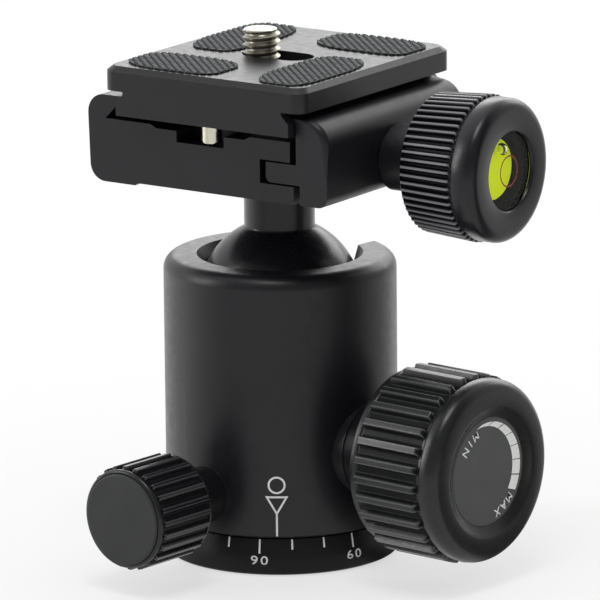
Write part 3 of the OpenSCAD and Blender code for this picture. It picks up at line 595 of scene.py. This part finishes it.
def main_knob():
    """Rubber knob with thirty flat ribs, a round shoulder and a sunk face."""
    low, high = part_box("main_knob")
    back = low.x / MM
    face = high.x / MM
    crest = (high.y - low.y) / 2 / MM
    centre_z = (high.z + low.z) / 2
    ribs = 30
    steps = 12
    shoulder = 15.4
    grip_end = back + 14.4
    valley = crest - 1.15
    stations = [(4.2, back), (14.5, back), (14.85, back + 0.1), (14.95, back + 0.35), (14.95, back + 0.6),
                (14.95, back + 1.15), (14.9, back + 1.4), (valley, back + 1.5), (valley, back + 1.6),
                (crest - 0.15, back + 1.65), (crest, back + 1.85), (crest, grip_end - 0.6),
                (crest - 0.15, grip_end - 0.3), (valley, grip_end - 0.1), (valley, grip_end + 0.3)]
    stations += arc_stations(shoulder - 0.5, grip_end + 0.95, 0.5, -60, 0, 3)
    stations += arc_stations(shoulder - 2.1, face - 2.15, 2.1, 5, 82, 9)
    stations += [(12.9, face - 0.03), (11.2, face), (10.9, face - 0.08), (10.6, face - 0.25), (9.5, face - 0.85),
                 (9.2, face - 0.92), (9.0, face - 0.92)]
    knob = turned("main_knob_grip", stations, ribs * steps)
    section = [0, 0, 0, 0, 0, 0.85, 1, 1, 1, 1, 1, 0.85]
    press_grooves(knob, back + 1.8, grip_end - 0.5, ribs, steps, crest, 1.15, section)
    press_grooves(knob, back + 1.62, back + 1.7, ribs, steps, crest - 0.15, 1.0, section)
    press_grooves(knob, grip_end - 0.35, grip_end - 0.25, ribs, steps, crest - 0.15, 1.0, section)
    round_edges(knob, 0.1, 3, 48)
    polish(knob, 40)
    put(knob, (0, 0, 6))
    put(knob, (0, 90, 0), (0, 0, centre_z))
    hand_over(knob, "main_knob_group", "knob_rubber", "main_knob")
    return back, face, centre_z


def main_dial(face, centre_z):
    """Grey disc in the knob's face, with a tapered friction scale round its edge."""
    level = face - 1.05
    stations = [(9.05, level - 0.15), (9.15, level + 0.12), (9.05, level + 0.2), (8.8, level + 0.22),
                (4.0, level + 0.22)]
    disc = turned("main_dial_disc", stations, 128)
    polish(disc)
    put(disc, (0, 90, 0), (0, 0, centre_z))
    hand_over(disc, "main_knob_group", "dial_plastic", "main_dial")
    top = level + 0.23
    marks = [friction_scale(top)]
    marks += curved_word("MIN", 7.4, 116, 1, top)
    marks += curved_word("MAX", 7.7, -45, -1, top)
    scale = join(marks)
    scale.name = "main_dial_scale"
    put(scale, (0, 0, 90))
    put(scale, (0, 90, 0), (0, 0, centre_z))
    hand_over(scale, "main_knob_group", "dial_plastic", finish=WHITE_INK)


def friction_scale(top):
    """A crescent that widens clockwise, cut into seven by narrow gaps."""
    start = 107
    end = -34.5
    gaps = [84.4, 64.6, 44.8, 25, 5.2, -14.6]
    half_gap = 0.6
    outer = 8.4
    inner = outer - 0.73
    inner_offset = 1.28
    deselect()
    bpy.ops.mesh.primitive_circle_add(vertices=720, radius=outer * MM, location=(0, 0, top * MM))
    ring = bpy.context.object
    bpy.ops.object.transform_apply(location=True)
    edit_all()
    extrude()
    resize(inner / outer, inner / outer, 1, top)
    thin_side = 170 * DEGREE
    shift(math.cos(thin_side) * inner_offset, math.sin(thin_side) * inner_offset)

    def is_waste(face):
        middle = face.calc_center_median()
        angle = math.atan2(middle.y, middle.x) / DEGREE
        return angle > start or angle < end or any(abs(angle - gap) < half_gap for gap in gaps)

    pick(ring, "FACE", is_waste)
    bpy.ops.mesh.delete(type="FACE")
    bpy.ops.mesh.select_all(action="SELECT")
    extrude(z=0.03)
    close_solid()
    return ring


def flat_text(words, size_mm, spacing=1.0):
    """Plain raised lettering in the XY plane, centred on the origin."""
    deselect()
    bpy.ops.object.text_add(location=(0, 0, 0))
    letters = bpy.context.object
    letters.data.body = words
    letters.data.size = size_mm * MM
    letters.data.align_x = "CENTER"
    letters.data.align_y = "CENTER"
    letters.data.space_character = spacing
    letters.data.resolution_u = 4
    letters.data.offset = 0.00002
    bpy.ops.object.convert(target="MESH")
    return bpy.context.object


def curved_word(word, radius, start, direction, top):
    """Letters one after another round a circle, counter-clockwise for direction 1."""
    letter_step = 13.5
    pieces = []
    for index, letter in enumerate(word):
        angle = start + direction * index * letter_step
        piece = flat_text(letter, 2.1)
        thicken(piece, 0.03)
        facing = angle + (90 if direction > 0 else -90)
        place = (radius * math.cos(angle * DEGREE) * MM, radius * math.sin(angle * DEGREE) * MM, top * MM)
        put(piece, (0, 0, facing), place)
        pieces.append(piece)
    return pieces


def thicken(piece, height_mm):
    """Gives a flat piece a small height along Z."""
    bpy.context.view_layer.objects.active = piece
    edit_all()
    extrude(z=height_mm)
    close_solid()


def pan_knob():
    """Small ribbed knob with a flat cap that is set in a rim."""
    low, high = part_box("pan_knob")
    back = -high.y / MM
    face = -low.y / MM
    crest = (high.x - low.x) / 2 / MM
    centre_z = (high.z + low.z) / 2
    ribs = 24
    steps = 10
    grip_end = face - 1.35
    valley = crest - 0.72
    stations = [(2.7, back), (7.9, back), (8.25, back + 0.12), (8.4, back + 0.35), (8.35, back + 0.75),
                (valley, back + 0.8), (valley, back + 0.9), (crest - 0.1, back + 0.92), (crest, back + 1.05),
                (crest, grip_end - 0.15), (crest - 0.1, grip_end), (valley, grip_end + 0.05),
                (valley, grip_end + 0.15), (8.25, grip_end + 0.25), (8.35, grip_end + 0.5), (8.25, grip_end + 0.85),
                (8.0, grip_end + 1.02), (7.85, grip_end + 1.05), (7.75, grip_end + 1.02), (7.7, grip_end + 0.9)]
    knob = turned("pan_knob_grip", stations, ribs * steps)
    section = [0, 0, 0, 0, 0.8, 1, 1, 1, 1, 0.8]
    press_grooves(knob, back + 1.02, grip_end - 0.1, ribs, steps, crest, 0.72, section)
    press_grooves(knob, back + 0.91, back + 0.95, ribs, steps, crest - 0.1, 0.62, section)
    press_grooves(knob, grip_end - 0.05, grip_end + 0.02, ribs, steps, crest - 0.1, 0.62, section)
    round_edges(knob, 0.07, 3, 48)
    polish(knob, 40)
    put(knob, (90, 0, 0), (0, 0, centre_z))
    hand_over(knob, "pan_knob_group", "pan_knob_plastic", "pan_knob")
    stations = [(7.55, face - 0.7), (7.66, face - 0.5)] + arc_stations(7.36, face - 0.22, 0.3, 0, 90, 4)
    cap = turned("pan_knob_cap", stations + [(7.0, face + 0.08), (3.0, face + 0.08)], 128)
    polish(cap)
    put(cap, (90, 0, 0), (0, 0, centre_z))
    hand_over(cap, "pan_knob_group", "dial_plastic", "pan_cap", finish=CAP_PLASTIC)


def clamp_knob():
    """Finely ribbed knob with a round shoulder and the well for the level."""
    low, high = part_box("clamp_collar")
    back = 31.55
    face = back + 14.6
    centre_z = (high.z + low.z) / 2
    ribs = 56
    steps = 8
    slim = 11.7
    crest = 12.28
    shoulder = 12.0
    depth = 0.7
    grip_end = back + 9.9
    window = 6.6
    well = face - 5.0
    stations = [(3.3, back), (10.9, back), (11.2, back + 0.08), (11.35, back + 0.25), (slim - 0.1, back + 0.34),
                (slim, back + 0.5), (crest, grip_end - 0.3), (crest - 0.1, grip_end - 0.1),
                (crest - depth, grip_end + 0.05), (crest - depth, grip_end + 0.3), (shoulder - 0.12, grip_end + 0.42),
                (shoulder, grip_end + 0.65)]
    stations += arc_stations(shoulder - 1.9, face - 1.9, 1.9, 4, 84, 8)
    stations += [(9.9, face), (window + 0.3, face), (window + 0.2, face - 0.05), (window + 0.02, face - 0.25),
                 (window + 0.02, well)]
    knob = turned("clamp_knob_grip", stations, ribs * steps)
    section = [0, 0, 0.6, 1, 1, 1, 0.6, 0]
    press_grooves(knob, back + 0.49, back + 0.51, ribs, steps, slim, depth, section, 2)
    press_grooves(knob, grip_end - 0.31, grip_end - 0.29, ribs, steps, crest, depth, section, 2)
    press_grooves(knob, back + 0.33, back + 0.35, ribs, steps, slim - 0.1, depth - 0.1, section, 2)
    press_grooves(knob, grip_end - 0.11, grip_end - 0.09, ribs, steps, crest - 0.1, depth - 0.1, section, 2)
    polish(knob, 50)
    put(knob, (0, 90, CLAMP_TURN), (0, 0, centre_z))
    hand_over(knob, "clamp_knob_group", "clamp_knob_metal", "clamp_knob")
    round_level(face, centre_z)


def round_level(face, centre_z):
    """Round level: thin window, liquid and bubble over a green floor, with a black lining and a printed ring."""
    top = face - 0.5
    floor = top - 2.85
    radius = 6.58
    cavity = 5.05
    stations = [(cavity, floor - 0.5), (cavity + 0.02, floor - 0.1), (cavity - 0.05, floor), (2.0, floor)]
    disc = turned("level_floor", stations)
    inner = cavity + 0.04
    stations = [(inner, floor - 0.5), (radius + 0.03, floor - 0.5), (radius + 0.03, top - 0.2),
                (radius + 0.01, top - 0.2), (radius + 0.01, floor - 0.1), (inner, floor - 0.1), (inner, floor - 0.5)]
    lining = turned("level_seat", stations)
    stations = [(radius - 0.05, top - 0.65), (radius, top - 0.6), (radius, top - 0.25), (radius - 0.22, top),
                (2.0, top)]
    window = turned("level_glass", stations, 128)
    stations = [(cavity - 0.1, floor + 0.1), (cavity, floor + 0.3), (cavity, top - 0.9), (cavity - 0.1, top - 0.7),
                (2.0, top - 0.7)]
    liquid = turned("level_liquid", stations)
    print_low = top + 0.004
    print_high = top + 0.02
    ring = turned("level_ring_print", [(2.42, print_low), (2.68, print_low), (2.68, print_high), (2.42, print_high),
                                       (2.42, print_low)])
    bubble = turned("level_air", arc_stations(0, top - 1.78, 1.04, -84, 84, 16), 32)
    put(bubble, (0, 0, 0), (-3.4 * MM, 0.35 * MM, 0))
    parts = ((disc, "level_green", ("level_cup",)), (lining, "black_anodised", ()),
             (window, "window", ("level_window",)), (liquid, "level_liquid", ("level_fluid",)),
             (ring, "red_print", ("level_ring",)), (bubble, "air", ("level_bubble",)))
    for part, slot, nodes in parts:
        polish(part, 50)
        put(part, (0, 90, CLAMP_TURN), (0, 0, centre_z))
        hand_over(part, "clamp_knob_group", slot, *nodes, finish=WELL_BLACK if part is lining else None)


def at_clamp(u, v, z):
    """A place in metres from the clamp's own axes in mm."""
    turn = CLAMP_TURN * DEGREE
    return ((u * math.cos(turn) - v * math.sin(turn)) * MM, (u * math.sin(turn) + v * math.cos(turn)) * MM, z * MM)


# ---- Ball, pins and threads ----

def ball():
    """Polished ball that runs into its neck with a small fillet."""
    low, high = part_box("ball")
    radius = 13.8
    centre = low.z / MM + radius
    top = high.z / MM - 2
    neck = 5.95
    fillet = 0.6
    meet = math.asin((neck + fillet) / radius) / DEGREE
    turns = [(1.5 + 2.5 * step) * DEGREE for step in range(61)]
    stations = [(radius * math.sin(turn), centre - radius * math.cos(turn)) for turn in turns]
    stations = [station for station in stations if station[1] < centre + radius * math.cos((meet + 2) * DEGREE)]
    shoulder = centre + radius * math.cos(meet * DEGREE)
    stations += [(neck + fillet, shoulder), (neck + 0.25, shoulder + 0.2), (neck + 0.06, shoulder + 0.45),
                 (neck, shoulder + 0.75), (neck, top - 0.3), (neck - 0.25, top), (5.0, top), (5.0, top + 2)]
    piece = turned("ball_and_neck", stations, 160)
    polish(piece, 40)
    hand_over(piece, "ball_group", "ball_finish", "ball")


def thread_core(name, root, crest, pitch, low, high, steps=56):
    """A rod with a helical thread between two heights, in mm about Z."""
    rod = start_point(name, root, 0, low - 1.5 * pitch)
    radius, height = root, 0
    depth = crest - root
    profile = ((root + 0.08 * depth, 0.12), (root + 0.35 * depth, 0.26), (crest - 0.14 * depth, 0.42), (crest, 0.47),
               (crest, 0.53), (crest - 0.14 * depth, 0.58), (root + 0.35 * depth, 0.74), (root + 0.08 * depth, 0.88),
               (root, 1.0))
    for next_radius, share in profile:
        next_height = share * pitch
        extrude(next_radius - radius, 0, next_height - height)
        radius, height = next_radius, next_height
    bpy.ops.object.mode_set(mode="OBJECT")
    screw = rod.modifiers.new("thread", "SCREW")
    screw.screw_offset = pitch * MM
    screw.iterations = math.ceil((high - low) / pitch) + 3
    screw.steps = steps
    screw.render_steps = steps
    screw.use_merge_vertices = True
    screw.merge_threshold = 0.001 * MM
    bpy.ops.object.modifier_apply(modifier="thread")
    edit_all()
    bpy.ops.mesh.remove_doubles(threshold=0.001 * MM)
    bpy.ops.mesh.bisect(plane_co=(0, 0, low * MM), plane_no=(0, 0, -1), use_fill=True, clear_outer=True)
    bpy.ops.mesh.select_all(action="SELECT")
    bpy.ops.mesh.bisect(plane_co=(0, 0, high * MM), plane_no=(0, 0, 1), use_fill=True, clear_outer=True)
    close_solid()
    return rod


def combine(piece, other, operation):
    """Cuts, joins or keeps the common part of two solids, and drops the second."""
    deselect()
    bpy.context.view_layer.objects.active = piece
    cut = piece.modifiers.new("cut", "BOOLEAN")
    cut.operation = operation
    cut.solver = "EXACT"
    cut.object = other
    bpy.ops.object.modifier_apply(modifier="cut")
    deselect()
    other.select_set(True)
    bpy.ops.object.delete()


def camera_screw():
    """Quarter-inch screw: slotted head, relieved shank and a thread with a chamfered tip."""
    low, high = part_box("camera_screw")
    foot = low.z / MM
    tip = high.z / MM
    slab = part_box("quick_plate")[1].z / MM
    thread = thread_core("camera_screw_thread", 2.58, 3.175, 1.27, slab - 0.6, tip)
    envelope = turned("tip_envelope", [(3.4, slab - 1), (3.4, tip - 0.5), (2.75, tip)])
    combine(thread, envelope, "INTERSECT")
    polish(thread, 40)
    place = at_clamp(-SLOT_HALF_RUN, 0, 0)
    put(thread, (0, 0, CLAMP_TURN), place)
    hand_over(thread, "camera_screw_group", "screw_metal", "camera_screw")
    head = turned("camera_screw_head", [(5.3, foot), (5.6, foot + 0.25), (5.6, foot + 2.9), (5.35, foot + 3.1),
                                        (2.87, foot + 3.1), (2.87, slab - 0.55)])
    slot = turned("screw_slot", [(1, foot - 1), (1, foot + 1.3)], 4)
    put(slot, (0, 0, 45))
    slot.scale = (9.0, 1.13, 1)
    put(slot)
    combine(head, slot, "DIFFERENCE")
    round_edges(head, 0.08)
    polish(head)
    put(head, (0, 0, CLAMP_TURN), place)
    hand_over(head, "camera_screw_group", "screw_metal")


def stop_pins():
    """Two plated pins with rounded noses under the plate's ends."""
    low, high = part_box("stop_pins")
    foot = low.z / MM
    top = high.z / MM
    stations = [(0.6, foot), (1.3, foot + 0.03), (1.55, foot + 0.18), (1.7, foot + 0.5), (1.7, top)]
    first = turned("stop_pin_front", stations, 64)
    polish(first)
    second = copy_of(first, "stop_pin_back")
    put(first, (0, 0, CLAMP_TURN), at_clamp(0, -STOP_PIN_RUN, 0))
    put(second, (0, 0, CLAMP_TURN), at_clamp(0, STOP_PIN_RUN, 0))
    hand_over(first, "plate", "pin_metal", "stop_pins")
    hand_over(second, "plate", "pin_metal")


def tripod_bushing():
    """Steel bushing with the tripod thread cut in it."""
    low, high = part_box("tripod_bushing")
    outside = (high.x - low.x) / 2 / MM
    top = high.z / MM
    stations = [(outside - 0.3, 0), (outside, 0.3), (outside, top - 0.3), (outside - 0.3, top)]
    bushing = turned("tripod_bushing_body", stations)
    bore = thread_core("tripod_thread", 3.98, 4.7, 1.5875, -0.5, 9.0)
    combine(bushing, bore, "DIFFERENCE")
    mouth = turned("mouth_chamfer", [(5.4, -0.6), (4.82, 0), (4.2, 0.62), (3.9, 0.95)])
    combine(bushing, mouth, "DIFFERENCE")
    polish(bushing, 25)
    hand_over(bushing, "base", "steel", "tripod_bushing")


# ---- Plate ----

def outline_prism(name, outline, start, end):
    """A solid from an outline of (x, z) points in mm, drawn out along Y."""
    x, z = outline[0]
    prism = start_point(name, x, start, z)
    for next_x, next_z in outline[1:] + outline[:1]:
        extrude(next_x - x, 0, next_z - z)
        x, z = next_x, next_z
    bpy.ops.mesh.select_all(action="SELECT")
    bpy.ops.mesh.remove_doubles(threshold=0.001 * MM)
    bpy.ops.mesh.edge_face_add()
    extrude(y=end - start)
    close_solid()
    return prism


def round_slab(width, length, corner, low, high, chamfer):
    """A slab with round corners and a chamfer round its top, in mm."""
    deselect()
    bpy.ops.mesh.primitive_plane_add(size=2, location=(0, 0, 0))
    slab = bpy.context.object
    edit_all()
    resize(width / 2 * MM, length / 2 * MM)
    if corner:
        bpy.ops.mesh.bevel(offset=corner * MM, segments=8, affect="VERTICES", offset_type="OFFSET")
    shift(z=low)
    bpy.ops.mesh.select_all(action="SELECT")
    extrude(z=high - chamfer - low)
    if chamfer:
        extrude(z=chamfer)
        resize(1 - 2 * chamfer / width, 1 - 2 * chamfer / length, 1, high)
    close_solid()
    return slab


def moving_jaw():
    """Jaw with a tongue, a hooked tip and a rounded back whose ends are chamfered."""
    low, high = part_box("moving_jaw")
    foot = low.z / MM
    lip = high.z / MM
    out = 23.7
    tongue = foot + 3.25
    outline = [(18.3, foot)] + arc_stations(out - 1.8, foot + 1.8, 1.8, -90, 0, 6)
    outline += arc_stations(out - 4.2, lip - 4.2, 4.2, 0, 90, 12)
    outline += [(16.7, lip), (17.63, lip - 0.93), (17.6, lip - 1.1), (17.6, tongue + 3.4), (11.6, tongue + 3.4)]
    outline += arc_stations(12.6, tongue + 1, 1, 180, 270, 4) + [(18.3, tongue)]
    half_length = 20.75
    jaw = outline_prism("moving_jaw_body", outline, -half_length, half_length)

    def is_back_end(edge):
        ends = [vertex.co / MM for vertex in edge.verts]
        upper_back = all(abs(end.y) > half_length - 0.05 and end.x > 18.5 and end.z > lip - 4.3 for end in ends)
        return upper_back and abs(ends[0].y - ends[1].y) < 1

    bpy.ops.object.mode_set(mode="EDIT")
    pick(jaw, "EDGE", is_back_end)
    bpy.ops.mesh.bevel(offset=1.1 * MM, segments=4, affect="EDGES")
    bpy.ops.mesh.select_mode(type="VERT")
    bpy.ops.object.mode_set(mode="OBJECT")
    bore = turned("screw_bore", [(3.1, 8), (3.1, 26)], 64)
    put(bore, (0, 90, 0), (0, 0, 70 * MM))
    combine(jaw, bore, "DIFFERENCE")
    round_edges(jaw, 0.18, 3)
    polish(jaw)
    put(jaw, (0, 0, CLAMP_TURN))
    hand_over(jaw, "jaw", "black_anodised", "moving_jaw")


def quick_plate():
    """Chamfered slab on a dovetail, with a slot for the screw and a pocket for its head."""
    low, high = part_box("quick_plate")
    foot = low.z / MM
    top = high.z / MM
    slab_z = top - 4.15
    flank = foot + 2.2
    outline = [(-17.3, foot), (17.3, foot), (17.3, flank), (15.9, flank + 1.4), (15.9, slab_z), (20.5, slab_z),
               (20.5, top + 1), (-20.5, top + 1), (-20.5, slab_z), (-15.9, slab_z), (-15.9, flank + 1.4),
               (-17.3, flank)]
    plate = outline_prism("quick_plate_body", outline, -23, 23)
    combine(plate, round_slab(40, 45, 2.2, foot - 1, top, 0.85), "INTERSECT")
    slot = 3.325
    pocket = 5.9
    for radius, reach in ((slot, top + 1), (pocket, slab_z + 0.2)):
        run = 2 * (SLOT_HALF_RUN + radius)
        combine(plate, round_slab(run, 2 * radius, radius - 0.001, foot - 1, reach, 0), "DIFFERENCE")
    for side in (-STOP_PIN_RUN, STOP_PIN_RUN):
        hole = turned("pin_seat", [(1.72, foot - 1), (1.72, foot + 2.2)], 48)
        put(hole, (0, 0, 0), (0, side * MM, 0))
        combine(plate, hole, "DIFFERENCE")
    round_edges(plate, 0.16, 3)
    polish(plate)
    put(plate, (0, 0, CLAMP_TURN))
    hand_over(plate, "plate", "plate_finish", "quick_plate")


# ---- Rubber pads ----

def leaf_prism(width, length, low, high):
    """A pad's outline as a solid: two swept corners opposite each other and two tighter ones."""
    deselect()
    bpy.ops.mesh.primitive_plane_add(size=2, location=(0, 0, 0))
    prism = bpy.context.object
    bpy.ops.object.mode_set(mode="EDIT")
    for share, steps, sign in ((0.85, 14, 1), (0.45, 8, -1)):
        pick(prism, "VERT", lambda vertex: abs(vertex.co.x * vertex.co.y - sign) < 1e-4)
        bpy.ops.mesh.bevel(offset=share, segments=steps, affect="VERTICES", offset_type="OFFSET")
    bpy.ops.mesh.select_all(action="SELECT")
    resize(width / 2 * MM, length / 2 * MM)
    shift(z=low)
    extrude(z=high - low)
    close_solid()
    return prism


def knurled_pad(name, width, length, low, high):
    """Rubber pad with rows of small flat-topped diamonds."""
    cell = 1.1
    depth = 0.26
    groove = 0.27
    count = math.ceil(math.hypot(width, length) / cell / 2) * 2 + 2
    size = count * cell * MM
    deselect()
    bpy.ops.mesh.primitive_grid_add(x_subdivisions=count, y_subdivisions=count, size=size, location=(0, 0, 0))
    pad = bpy.context.object
    pad.name = name
    edit_all()
    bpy.ops.transform.rotate(value=math.pi / 4, orient_axis="Z", center_override=(0, 0, 0))
    shift(z=high - depth)
    extrude(z=low - high + depth)
    pick(pad, "FACE", lambda face: abs(face.calc_center_median().z / MM - high + depth) < 0.001)
    bpy.ops.mesh.inset(thickness=groove * MM, use_individual=True, use_even_offset=True)
    shift(z=depth)
    close_solid()
    combine(pad, leaf_prism(width, length, low - 0.1, high + 0.5), "INTERSECT")
    return pad


def grip_pads():
    """Two long and two short pads, laid round the screw like a pinwheel."""
    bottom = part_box("quick_plate")[1].z / MM - 0.02
    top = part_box("grip_pads")[1].z / MM
    for kind, width, length, u, v in (("long", 11.2, 24.0, 12.9, -9.0), ("short", 19.4, 12.2, 8.8, 14.9)):
        pad = knurled_pad(kind + "_pad_right", width, length, bottom, top)
        polish(pad, 20)
        twin = copy_of(pad, kind + "_pad_left")
        put(pad, (0, 0, CLAMP_TURN), at_clamp(u, v, 0))
        put(twin, (0, 0, CLAMP_TURN + 180), at_clamp(-u, -v, 0))
        hand_over(pad, "plate", "pad_rubber", *(("grip_pads",) if kind == "long" else ()))
        hand_over(twin, "plate", "pad_rubber")


# ---- Printed marks ----

def stand_up():
    """Turns what is selected in the open mesh from the XY plane into the XZ plane."""
    bpy.ops.transform.rotate(value=-math.pi / 2, orient_axis="X", center_override=(0, 0, 0))


def flat_strip(width, low, high):
    """An upright strip in the XZ plane, in mm."""
    deselect()
    bpy.ops.mesh.primitive_plane_add(size=1, location=(0, 0, 0))
    strip = bpy.context.object
    edit_all()
    stand_up()
    resize(width * MM, 1, (high - low) * MM)
    shift(z=(low + high) / 2)
    bpy.ops.mesh.subdivide(number_cuts=4)
    bpy.ops.object.mode_set(mode="OBJECT")
    return strip


def outline_ring(sides, radius, stroke, centre_z, point_down=False):
    """A flat ring or triangle outline standing in the XZ plane, in mm."""
    deselect()
    bpy.ops.mesh.primitive_circle_add(vertices=sides, radius=radius * MM, location=(0, 0, 0))
    ring = bpy.context.object
    edit_all()
    if point_down:
        bpy.ops.transform.rotate(value=math.pi, orient_axis="Z", center_override=(0, 0, 0))
    extrude()
    inner = 1 - stroke / radius / math.cos(math.pi / sides)
    resize(inner, inner)
    bpy.ops.mesh.select_all(action="SELECT")
    if sides < 10:
        bpy.ops.mesh.subdivide(number_cuts=6)
    stand_up()
    shift(z=centre_z)
    bpy.ops.object.mode_set(mode="OBJECT")
    return ring


def press_on(marks, target, azimuth):
    """Joins upright marks, wraps them on a round surface at an azimuth and gives them ink thickness."""
    standoff = 24
    ink_mm = 0.012
    mark = join(marks)
    edit_all()
    shift(y=-standoff)
    bpy.ops.object.mode_set(mode="OBJECT")
    mark.rotation_euler = (0, 0, (azimuth + 90) * DEGREE)
    bpy.context.view_layer.update()
    wrap = mark.modifiers.new("wrap", "SHRINKWRAP")
    wrap.target = target
    wrap.wrap_method = "PROJECT"
    wrap.use_project_y = True
    wrap.use_positive_direction = True
    wrap.use_negative_direction = False
    wrap.offset = ink_mm * MM
    bpy.ops.object.modifier_apply(modifier="wrap")
    ink = mark.modifiers.new("ink", "SOLIDIFY")
    ink.thickness = ink_mm * MM
    ink.offset = 0
    bpy.ops.object.modifier_apply(modifier="ink")
    settle(mark)
    return mark


def upright_number(words, height, width_scale, centre_z):
    """A number standing in the XZ plane, cut across so that it can bend over the edge of the cone."""
    number = flat_text(words, height / 0.70, 1.25)
    edit_all()
    stand_up()
    resize(width_scale, 1)
    shift(z=centre_z)
    for cut in (-0.5, -0.35, -0.22, -0.1, 0, 0.1, 0.25, 0.45):
        bpy.ops.mesh.select_all(action="SELECT")
        bpy.ops.mesh.bisect(plane_co=(0, 0, (centre_z + cut) * MM), plane_no=(0, 0, 1))
    bpy.ops.object.mode_set(mode="OBJECT")
    return number


def pan_scale(base_piece):
    """Twenty-two lines round the cone, with a number at every third."""
    count = 22
    front_line = 9
    front_azimuth = -61.2
    marks = []
    for index in range(count):
        numbered = index % 3 == 0
        line = flat_strip(0.3, 3.65 if numbered else 4.35, 6.0)
        azimuth = front_azimuth - (index - front_line) * (360 / count)
        marks.append(press_on([line], base_piece, azimuth))
        if numbered:
            number = upright_number(str(index * 10), 1.42, 1.35, 2.45)
            marks.append(press_on([number], base_piece, azimuth))
    scale = join(marks)
    scale.name = "pan_scale"
    hand_over(scale, "base", "black_anodised", finish=WHITE_INK)


def pan_pointer(housing_piece):
    """Ring, arrow and line that read the pan scale."""
    stroke = 0.33
    ring = outline_ring(48, 1.5, stroke, 15.54)
    arrow = outline_ring(3, 2.235, stroke, 12.53, point_down=True)
    line = flat_strip(stroke, 6.75, 10.6)
    pointer = press_on([ring, arrow, line], housing_piece, -52.3)
    pointer.name = "pan_pointer"
    hand_over(pointer, "housing_group", "black_anodised", finish=WHITE_INK)


# ---- Build ----

dress_cad_nodes()
add_camera()
add_studio_world()
add_softbox("left_softbox", (-0.65, -0.66, 0.36), (0.2, 0.5), 2.2)
add_softbox("back_softbox", (-0.36, 0.9, 0.52), (1.3, 0.5), 5)
add_softbox("top_softbox", (0.2, -0.3, 1.0), (0.35, 0.35), 3)
add_floor()

housing_piece = finish_machined("housing", "housing_group", "black_anodised", 0.25, 3)
# The base takes the painted-shade copy of the black anodising.
base_piece = finish_machined("pan_base", "base", "black_anodised", 0.12, finish=PAINTED_SHADE_BLACK)
pan_scale(base_piece)
pan_pointer(housing_piece)
# The bushings take the painted-shade copy of the black anodising.
finish_machined("main_bushing", "housing_group", "black_anodised", 0.3, 3, PAINTED_SHADE_BLACK)
finish_machined("pan_bushing", "housing_group", "black_anodised", 0.3, 3, PAINTED_SHADE_BLACK)
finish_machined("clamp_body", "clamp", "black_anodised", 0.22, 3)
finish_machined("clamp_collar", "jaw", "black_anodised", 0.1, 3)
knob_back, knob_face, knob_z = main_knob()
main_dial(knob_face, knob_z)
pan_knob()
clamp_knob()
ball()
moving_jaw()
quick_plate()
camera_screw()
stop_pins()
tripod_bushing()
grip_pads()
